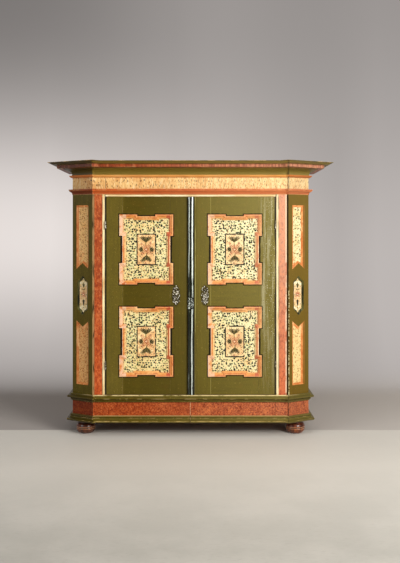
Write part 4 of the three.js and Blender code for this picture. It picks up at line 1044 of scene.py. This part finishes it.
def soften(piece, width, edge_slot=None):
    """Bevel the arrises of a CAD node, and keep its flat faces flat to the light."""
    weld = piece.modifiers.new("weld", "WELD")
    weld.merge_threshold = 0.00002
    flat = piece.modifiers.new("flat", "DECIMATE")
    flat.decimate_type = "DISSOLVE"
    flat.angle_limit = math.radians(0.4)
    bevel = piece.modifiers.new("arris", "BEVEL")
    bevel.width = width
    bevel.segments = 2
    bevel.limit_method = "ANGLE"
    bevel.angle_limit = math.radians(40)
    if edge_slot is not None:
        bevel.material = edge_slot
    smooth = piece.modifiers.new("smooth", "NODES")
    smooth.node_group = SMOOTH
    weighted = piece.modifiers.new("flat_faces", "WEIGHTED_NORMAL")
    weighted.mode = "FACE_AREA"
    weighted.keep_sharp = True


def pair(name):
    """The left and the right one of a node."""
    return [f"{name}_left", f"{name}_right"]


def dress(names, material, width, edge=None):
    """Give CAD nodes their material, softened arrises, and a material of their own for those."""
    for name in names:
        piece = nodes[name]
        piece.data.materials.clear()
        piece.data.materials.append(material)
        if edge is not None:
            piece.data.materials.append(edge)
        soften(piece, width, None if edge is None else 1)


green_edge = worn_edge_material("worn_green_arris", GREEN)
red_edge = worn_edge_material("worn_red_arris", RED)
orange_edge = worn_edge_material("worn_orange_arris", ORANGE)
bare_pine = pine_material("bare_pine_lying")
iron = iron_material("old_iron")
# key plate iron with painted shade and painted glints
bright_iron = iron_material("rubbed_key_plate_iron", 0.85)
hinge_iron = iron_material("hinge_iron", 0.6)

dress(pair("side_panel"), green_board("green_side_board"), 0.0015, green_edge)
dress(pair("corner_post"), corner_material("painted_corner"), 0.0009)
dress(pair("front_stile"), stile_material("red_front_stile"), 0.0009)
dress(["head_rail"], head_material("cream_head_rail"), 0.0009)
dress(["frieze"], frieze_material("cream_frieze"), 0.0009)
dress(["neck_moulding"], neck_material("red_neck_moulding"), 0.0008, red_edge)
dress(["cornice_cove"], cove_material("green_cove"), 0.0008)
dress(["cornice_crown"], crown_material("crown_moulding"), 0.0010, green_edge)
dress(["waist_moulding"], waist_material("green_waist_moulding"), 0.0010, green_edge)
dress(pair("base_moulding"), base_material("green_base_moulding"), 0.0010, green_edge)
dress(pair("plinth"), plinth_material("red_plinth"), 0.0012)
dress(["back_panel"], plank_material("pine_back_planks", 0.2240), 0.0012)
dress(["bottom_board", "shelf_1", "shelf_2", "shelf_3", "top_board"], bare_pine, 0.0014)

upright_door = door_board("green_door_stile", "z")
lying_door = door_board("green_door_rail", "x")
for side in ("left", "right"):
    dress([f"door_{side}_stile_hinge", f"door_{side}_stile_meeting"], upright_door, 0.0014, green_edge)
    dress([f"door_{side}_rail_{level}" for level in ("bottom", "middle", "top")], lying_door, 0.0007)
    for level in ("lower", "upper"):
        panel = panel_material(f"{side}_{level}_panel_paint", SIGN[side], level)
        moulding = ear_material(f"{side}_{level}_moulding_paint", SIGN[side], level)
        dress([f"door_{side}_panel_{level}"], panel, 0.0006)
        dress([f"door_{side}_moulding_{level}"], moulding, 0.0009, orange_edge)
        dress([f"door_{side}_hinge_leaf_{level}", f"hinge_frame_leaf_{side}_{level}"], hinge_iron, 0.0002)
    dress([f"door_{side}_key_plate"], bright_iron, 0.0004)
dress(["door_right_cover_strip"], strip_material("black_cover_strip"), 0.0006)
dress(["lock_case", "lock_bolt", "door_bolt_plate", "door_bolt"], iron, 0.0008)


# New pieces
def piece_from(name, vertices, faces, materials, body, face_materials=None, smooth=True):
    """A new piece that rides on a body, with its faces turned outwards."""
    mesh = bpy.data.meshes.new(name)
    mesh.from_pydata([tuple(v) for v in vertices], [], faces)
    mesh.validate()
    made = bpy.data.objects.new(name, mesh)
    bpy.context.scene.collection.objects.link(made)
    for material in materials:
        mesh.materials.append(material)
    if face_materials:
        mesh.polygons.foreach_set("material_index", face_materials)
    mesh.polygons.foreach_set("use_smooth", [smooth] * len(mesh.polygons))
    work = bmesh.new()
    work.from_mesh(mesh)
    bmesh.ops.recalc_face_normals(work, faces=work.faces)
    work.to_mesh(mesh)
    work.free()
    mesh.set_sharp_from_angle(angle=math.radians(40))
    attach(made, body)
    return made


def spline(points, steps):
    """A smooth line through the points."""
    line = []
    for i in range(len(points) - 1):
        a = points[max(i - 1, 0)]
        b, c = points[i], points[i + 1]
        d = points[min(i + 2, len(points) - 1)]
        for k in range(steps):
            t = k / steps
            line.append(tuple(
                0.5 * (2 * b[j] + (c[j] - a[j]) * t + (2 * a[j] - 5 * b[j] + 4 * c[j] - d[j]) * t * t
                       + (3 * b[j] - a[j] - 3 * c[j] + d[j]) * t ** 3)
                for j in range(len(b))))
    line.append(tuple(points[-1]))
    return line


# The feet, turned with a bead round the middle and a collar under the plinth
FOOT_PROFILE = [
    (0.0, 0.0), (0.0400, 0.0), (0.0450, 0.0022), (0.0535, 0.0085), (0.0600, 0.0170),
    (0.0642, 0.0260), (0.0656, 0.0330), (0.0650, 0.0375), (0.0632, 0.0392), (0.0630, 0.0414),
    (0.0652, 0.0432), (0.0658, 0.0480), (0.0650, 0.0550), (0.0622, 0.0620), (0.0575, 0.0680),
    (0.0505, 0.0725), (0.0492, 0.0742), (0.0500, 0.0758), (0.0522, 0.0778), (0.0528, 0.0800),
    (0.0520, 0.0822), (0.0522, 0.0880), (0.0522, 0.0918), (0.0, 0.0918),
]


def turned_foot(name, x, y):
    """A foot turned from FOOT_PROFILE round an upright axis."""
    rings = spline(FOOT_PROFILE[1:-1], 3)
    count = 72
    vertices, faces = [(x, y, 0.0)], []
    for radius, z in rings:
        for i in range(count):
            a = math.tau * i / count
            vertices.append((x + radius * math.cos(a), y + radius * math.sin(a), max(z, 0.0)))
    top = len(vertices)
    vertices.append((x, y, FOOT_PROFILE[-1][1]))
    for i in range(count):
        j = (i + 1) % count
        faces.append((0, 1 + j, 1 + i))
        for r in range(len(rings) - 1):
            low, high = 1 + r * count, 1 + (r + 1) * count
            faces.append((low + i, low + j, high + j, high + i))
        last = 1 + (len(rings) - 1) * count
        faces.append((last + i, last + j, top))
    return piece_from(name, vertices, faces, [foot_varnish], "root")


foot_varnish = foot_material("foot_varnish_paint")
for end in ("front", "back"):
    for side in ("left", "right"):
        low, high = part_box(f"foot_{end}_{side}")
        made = turned_foot(f"turned_foot_{end}_{side}", (low.x + high.x) / 2, (low.y + high.y) / 2)
        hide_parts(f"foot_{end}_{side}")


# Painted ornament: brush strokes a little proud of the ground
class Strokes:
    """Flat strokes on a plane, gathered into one piece."""

    def __init__(self, origin, across, out, seed):
        self.origin = Vector(origin)
        self.across = Vector(across).normalized()
        self.up = Vector((0, 0, 1))
        self.out = Vector(out).normalized()
        self.vertices, self.faces, self.kinds = [], [], []
        self.chance = random.Random(seed)
        self.height = 0.00022

    def point(self, u, v, lift):
        return self.origin + self.across * u + self.up * v + self.out * lift

    def shape(self, outline, kind):
        """A closed outline, crowned in its middle, with a thin edge down to the ground."""
        wobble = self.chance.uniform
        outline = [(u + wobble(-0.0003, 0.0003), v + wobble(-0.0003, 0.0003)) for u, v in outline]
        count = len(outline)
        start = len(self.vertices)
        cu = sum(u for u, v in outline) / count
        cv = sum(v for u, v in outline) / count
        self.vertices += [self.point(u, v, 0.00002) for u, v in outline]
        self.vertices += [self.point(u, v, self.height) for u, v in outline]
        self.vertices.append(self.point(cu, cv, self.height * 1.6))
        self.vertices.append(self.point(cu, cv, 0.00002))
        for i in range(count):
            j = (i + 1) % count
            self.faces.append((start + i, start + j, start + count + j, start + count + i))
            self.faces.append((start + count + i, start + count + j, start + 2 * count))
            self.faces.append((start + j, start + i, start + 2 * count + 1))
            self.kinds += [kind] * 3
        self.height += 0.000004

    def leaf(self, start, angle, length, width, kind, bend=0.0):
        left, right = [], []
        steps = 6
        for i in range(steps + 1):
            t = i / steps
            a = angle + bend * (t - 0.5)
            half = width / 2 * math.sin(math.pi * (0.08 + 0.9 * t) ** 0.8)
            u = start[0] + length * t * math.cos(a)
            v = start[1] + length * t * math.sin(a)
            left.append((u - half * math.sin(a), v + half * math.cos(a)))
            right.append((u + half * math.sin(a), v - half * math.cos(a)))
        self.shape(left + right[::-1], kind)

    def dab(self, u, v, ru, rv, kind, turn=0.0):
        outline = []
        for i in range(9):
            a = math.tau * i / 9
            x, y = ru * math.cos(a), rv * math.sin(a)
            across = u + x * math.cos(turn) - y * math.sin(turn)
            up = v + x * math.sin(turn) + y * math.cos(turn)
            outline.append((across, up))
        self.shape(outline, kind)

    def line(self, points, width, kind):
        line = spline(points, 5)
        left, right = [], []
        for i, (u, v) in enumerate(line):
            a, b = line[max(i - 1, 0)], line[min(i + 1, len(line) - 1)]
            du, dv = b[0] - a[0], b[1] - a[1]
            size = math.hypot(du, dv) or 1
            swell = 0.55 + 0.45 * math.sin(math.pi * i / (len(line) - 1))
            half = width / 2 * swell * self.chance.uniform(0.85, 1.15)
            left.append((u - dv / size * half, v + du / size * half))
            right.append((u + dv / size * half, v - du / size * half))
        for i in range(len(line) - 1):
            self.shape([left[i], left[i + 1], right[i + 1], right[i]], kind)

    def build(self, name, body):
        piece_from(name, self.vertices, self.faces, BRUSHES, body, self.kinds, smooth=False)


def stroke_material(name, colour, light):
    """Brush paint, lighter in places and worn."""
    p = Paint(name)
    body = p.noise((1, 1, 1), 180.0, 3.0, 0.65)
    shade = p.mix(p.spread(body, 0.4, 0.68), colour, light)
    worn = p.patches((1, 1, 1, 6), 90.0, 0.64, 0.72, 3.0, 0.65)
    shade = p.coat(shade, (214, 176, 116), worn, 0.55)
    return p.finish(shade, 0.45, body, 0.3, 0.0005)


BRUSHES = [
    stroke_material("leaf_brush_paint", tone(74, 66, 26), tone(126, 110, 56)),
    stroke_material("dark_brush_paint", tone(26, 20, 10), tone(70, 54, 28)),
    stroke_material("rose_brush_paint", tone(150, 66, 38), tone(200, 108, 70)),
    stroke_material("pale_brush_paint", tone(240, 222, 176), tone(250, 240, 208)),
]
LEAF, INK, ROSE, PALE = range(4)


def blossom(s, u, v, size):
    """A small rose: petals round a pale middle, with dark dots between."""
    for k in range(6):
        a = math.tau * k / 6 + 0.3
        s.dab(u + size * 0.62 * math.cos(a), v + size * 0.62 * math.sin(a), size * 0.40, size * 0.30, ROSE, a)
    s.dab(u, v, size * 0.30, size * 0.30, PALE)
    for k in range(5):
        a = math.tau * k / 5 + 0.9
        s.dab(u + size * 0.95 * math.cos(a), v + size * 0.95 * math.sin(a), size * 0.13, size * 0.10, INK, a)


def fan(s, apex, tips, kinds, thick):
    """Leaves that spread from an apex to their tips, feathered along each arm."""
    for k, tip in enumerate(tips):
        du, dv = tip[0] - apex[0], tip[1] - apex[1]
        angle, reach = math.atan2(dv, du), math.hypot(du, dv)
        s.leaf(apex, angle, reach, thick, kinds[k % len(kinds)], 0.2 * (-1) ** k)
        for j in range(4):
            at = (apex[0] + du * (0.30 + 0.18 * j), apex[1] + dv * (0.30 + 0.18 * j))
            for lean in (-0.75, 0.75):
                s.leaf(at, angle + lean, reach * 0.30, thick * 0.5, (j + k) % 2, 0.3)


def panel_flowers(side, level):
    """Sprays, side clumps and a rose lattice in the peach rectangle of a panel."""
    middle = (SIGN[side] * PANEL_X, PANEL_FACE, PANEL_Z[level])
    s = Strokes(middle, (1, 0, 0), (0, -1, 0), seed=SIGN[side] * 7 + len(level))
    high_tips = (
        (-0.040, 0.086), (-0.026, 0.089), (-0.011, 0.086), (0.005, 0.084), (0.020, 0.089), (0.034, 0.086))
    low_tips = ((-0.036, -0.083), (-0.028, -0.086), (0.026, -0.083), (0.033, -0.078))
    thick = {"left": 0.0086, "right": 0.0066}[side]
    fan(s, (-0.003, 0.048), high_tips, (LEAF, INK, LEAF), thick)
    s.leaf((-0.004, 0.026), math.pi / 2, 0.028, 0.0048, LEAF)
    fan(s, (0.002, -0.040), low_tips, (INK, LEAF), thick)
    fan(s, (0.002, -0.044), ((-0.014, -0.078), (0.000, -0.074), (0.013, -0.077)), (LEAF, INK), 0.9 * thick)
    s.leaf((0.002, -0.024), -math.pi / 2, 0.024, 0.0048, LEAF)
    for lean in (-1, 1):
        turn = 0.0 if lean > 0 else math.pi
        for k, spread in enumerate((-1.0, -0.6, -0.25, 0.0, 0.25, 0.6, 1.0)):
            length = 0.037 * (1 - 0.35 * abs(spread))
            s.leaf((lean * 0.023, 0.0), turn + spread, length, 0.0074, k % 2, 0.4 * spread)
        for v in (-0.011, 0.0, 0.011):
            s.dab(lean * s.chance.uniform(0.038, 0.046), v, 0.0042, 0.0032, INK, v * 40)
    for k in range(-1, 2):
        for lean in (-1, 1):
            u = 0.011 * k
            s.line([(u - lean * 0.028, 0.036), (u, 0.001), (u + lean * 0.028, -0.036)], 0.0032, ROSE)
    for k in range(12):
        a = math.tau * k / 12
        reach = 0.012 + 0.013 * (k % 3)
        s.dab(reach * math.cos(a), 0.9 * reach * math.sin(a), 0.0030, 0.0024, INK if k % 2 else ROSE, a)
    s.line([(0.002, -0.018), (0.008, -0.026), (0.004, -0.036)], 0.0030, ROSE)
    s.line([(-0.006, 0.018), (0.001, 0.026), (-0.003, 0.036)], 0.0030, ROSE)
    s.dab(-0.002, 0.0, 0.0044, 0.0040, PALE)
    for u, v, size in (
            (0.028, 0.043, 0.0072), (-0.033, 0.041, 0.0060), (-0.005, -0.093, 0.0060), (0.024, 0.020, 0.0036),
            (-0.026, 0.020, 0.0036), (0.026, -0.020, 0.0036), (-0.024, -0.022, 0.0036)):
        blossom(s, u, v, size)
    for lean in (-1, 1):
        s.leaf((lean * 0.036, -0.032), 0.7 * lean, 0.014, 0.0045, INK)
        s.leaf((lean * 0.046, -0.042), 0.9 * lean, 0.012, 0.0045, INK)
        s.leaf((lean * 0.048, 0.058), 2.2 * lean, 0.011, 0.0040, LEAF)
        s.leaf((lean * 0.052, -0.086), 1.1 * lean, 0.011, 0.0042, INK)
    for k in range(5):
        s.dab(-0.022 + 0.011 * k, -0.099, 0.0032, 0.0018, INK)
    s.build(f"door_{side}_painted_flowers_{level}", f"door_{side}")


for side in ("left", "right"):
    for level in ("lower", "upper"):
        panel_flowers(side, level)


def cartouche_flowers(side):
    """Brush work on the floor of a cartouche: leaf, cross of petals, drop."""
    sign = SIGN[side]
    middle = 0.0860
    depth = 0.012
    x = sign * (HALF_BODY - CANT_COS * middle - CANT_SIN * depth)
    y = CANT_START_Y - CANT_SIN * middle + CANT_COS * depth
    across, out = (-sign * CANT_COS, -CANT_SIN, 0), (sign * CANT_SIN, -CANT_COS, 0)
    s = Strokes((x, y, CARTOUCHE_Z), across, out, seed=31 + sign)
    up = math.pi / 2
    s.leaf((0.0, 0.052), up, 0.036, 0.016, LEAF)
    s.leaf((0.0, 0.060), up + 0.5, 0.020, 0.008, INK)
    s.leaf((0.0, 0.060), up - 0.5, 0.020, 0.008, INK)
    for lean in (-1, 1):
        s.leaf((0.0, 0.036), up - lean * 1.1, 0.019, 0.007, LEAF, 0.4)
        s.leaf((0.0, -0.036), -up - lean * 1.1, 0.017, 0.007, LEAF, 0.4)
        s.line([(lean * 0.004, 0.022), (lean * 0.014, 0.012), (lean * 0.020, 0.020)], 0.0036, ROSE)
        s.line([(lean * 0.004, -0.014), (lean * 0.014, -0.008), (lean * 0.020, -0.016)], 0.0036, ROSE)
        for u, v, ru, rv in ((0.021, 0.003, 0.0040, 0.0055), (0.023, -0.024, 0.0026, 0.0030),
                             (0.023, 0.058, 0.0026, 0.0030), (0.024, -0.062, 0.0026, 0.0034)):
            s.dab(lean * u, v, ru, rv, INK)
    blossom(s, 0.0, 0.004, 0.0130)
    s.line([(0.0, 0.034), (0.0015, 0.020), (0.0, 0.012)], 0.0034, ROSE)
    s.leaf((0.0, -0.030), -up, 0.046, 0.015, INK)
    s.leaf((0.0, -0.034), -up, 0.030, 0.007, LEAF)
    s.dab(0.0, -0.086, 0.0030, 0.0050, INK)
    s.build(f"corner_painted_flowers_{side}", "root")


for side in ("left", "right"):
    cartouche_flowers(side)

# Camera at the photograph's viewing point
camera_data = bpy.data.cameras.new("camera")
camera_data.sensor_width = 36
camera_data.lens = 49.55
camera_data.shift_y = -0.0826
camera = bpy.data.objects.new("camera", camera_data)
bpy.context.scene.collection.objects.link(camera)
camera.location = (0.065, -5.4577, 1.3718)
camera.rotation_euler = (math.pi / 2, 0, 0)
bpy.context.scene.camera = camera


def area_light(name, place, target, size, power, colour=(1, 1, 1)):
    data = bpy.data.lights.new(name, "AREA")
    data.shape = "RECTANGLE"
    data.size, data.size_y = size
    data.energy = power
    data.color = colour
    made = bpy.data.objects.new(name, data)
    bpy.context.scene.collection.objects.link(made)
    made.location = place
    made.rotation_euler = (Vector(target) - Vector(place)).to_track_quat("-Z", "Y").to_euler()


area_light("key_light", (3.4, -4.2, 2.6), (0.1, 0, 1.0), size=(2.4, 2.2), power=295, colour=(1, 0.99, 0.96))
area_light("fill_light", (-4.4, -3.4, 2.4), (0, 0, 1.0), size=(2.4, 2.4), power=95, colour=(0.98, 0.99, 1))
area_light("top_light", (0.3, -1.6, 4.4), (0, -0.2, 1.0), size=(3.4, 2.0), power=40)

world = bpy.data.worlds.new("studio")
world.use_nodes = True
background = world.node_tree.nodes["Background"]
background.inputs["Color"].default_value = (0.86, 0.85, 0.84, 1)
background.inputs["Strength"].default_value = 0.20
bpy.context.scene.world = world


# Floor, and a paper sweep that starts under the cupboard and curves up behind it
def stage_mesh(name, vertices, faces, material):
    """A smooth mesh that is only scenery."""
    mesh = bpy.data.meshes.new(name)
    mesh.from_pydata(vertices, [], faces)
    mesh.polygons.foreach_set("use_smooth", [True] * len(mesh.polygons))
    mesh.materials.append(material)
    made = bpy.data.objects.new(name, mesh)
    bpy.context.scene.collection.objects.link(made)
    made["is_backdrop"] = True


STAGE_HALF = 9.0
SEAM = FRONT + 0.150
CURVE_START = 1.4
CURVE_RADIUS = 1.2
CURVE_STEPS = 24
SWEEP_TOP = 7.0


def floor_material():
    """A pale studio floor, with a painted pool of light towards the cupboard."""
    p = Paint("pale_floor")
    cloud = p.noise((1, 1, 1), 2.2, 5.0, 0.6)
    fine = p.noise((1, 3, 1, 3), 26.0, 5.0, 0.65)
    colour = p.mix(p.spread(cloud, 0.35, 0.7), tone(176, 172, 163), tone(190, 185, 176))
    colour = p.coat(colour, (162, 155, 145), p.spread(fine, 0.52, 0.7), 0.35)
    # Painted pool of light on the floor near the cupboard
    near = p.ramp(p.y, -2.1, -0.9)
    colour = p.coat(colour, (224, 218, 208), near, 0.72)
    return p.finish(colour, 0.6, fine, 0.1, 0.002, specular=0.3)


def sweep_material():
    """A grey paper sweep: lit softly from below on its left, evenly on its right."""
    p = Paint("grey_sweep")

    def hump(value, middle, sharpness):
        away = p.mul(p.sub(value, middle), sharpness)
        return p.math("EXPONENT", p.mul(p.mul(away, away), -1.0))

    leftward = p.rest(p.ramp(p.x, -1.5, 1.5))
    rightward = p.ramp(p.x, -0.2, 1.9)
    level = p.add(0.19, p.mul(p.mul(leftward, hump(p.z, 1.36, 0.80)), 0.60))
    level = p.add(level, p.mul(rightward, p.add(0.12, p.mul(hump(p.z, 0.95, 0.55), 0.20))))
    level = p.add(level, p.mul(hump(p.x, 0.0, 0.95), 0.11))
    cast = p.noise((1, 1, 1), 0.9, 2.0)
    level = p.mul(level, p.blend(cast, 0.97, 1.03))
    colour = p.node("CombineColor")
    for channel, share in zip(colour.inputs, (1.0, 0.925, 0.89)):
        p.link(p.mul(level, share), channel)
    glowing = p.node("Emission")
    p.link(colour.outputs[0], glowing.inputs[0])
    flat = p.mix(rightward, tone(168, 160, 154), tone(198, 190, 182))
    p.link(flat, p.shader.inputs["Base Color"])
    p.shader.inputs["Roughness"].default_value = 0.9
    rays = p.node("LightPath")
    seen = p.either(rays.outputs["Is Camera Ray"], rays.outputs["Is Glossy Ray"])
    seen = p.either(seen, rays.outputs["Is Transmission Ray"])
    mixed = p.node("MixShader")
    p.link(p.mul(seen, p.above(p.y, 1.55, 0.5)), mixed.inputs[0])
    p.link(p.shader.outputs[0], mixed.inputs[1])
    p.link(glowing.outputs[0], mixed.inputs[2])
    open_behind = p.node("MixShader")
    p.link(p.node("NewGeometry").outputs["Backfacing"], open_behind.inputs[0])
    p.link(mixed.outputs[0], open_behind.inputs[1])
    p.link(p.node("BsdfTransparent").outputs[0], open_behind.inputs[2])
    p.link(open_behind.outputs[0], p.output.inputs[0])
    return p.material


floor_corners = [(x, y, 0) for x, y in (
    (-STAGE_HALF, -STAGE_HALF), (STAGE_HALF, -STAGE_HALF), (STAGE_HALF, SEAM), (-STAGE_HALF, SEAM))]
stage_mesh("floor", floor_corners, [(0, 1, 2, 3)], floor_material())
bend = [(SEAM, 0.0), (0.9, 0.0)]
for k in range(CURVE_STEPS + 1):
    a = math.pi / 2 * k / CURVE_STEPS
    bend.append((CURVE_START + CURVE_RADIUS * math.sin(a), CURVE_RADIUS - CURVE_RADIUS * math.cos(a)))
bend.append((CURVE_START + CURVE_RADIUS, SWEEP_TOP))
sweep_vertices = [(x, y, z) for y, z in bend for x in (-STAGE_HALF, STAGE_HALF)]
sweep_faces = [(2 * i, 2 * i + 1, 2 * i + 3, 2 * i + 2) for i in range(len(bend) - 1)]
stage_mesh("sweep", sweep_vertices, sweep_faces, sweep_material())

bpy.context.scene.view_settings.view_transform = "Standard"

low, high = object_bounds()
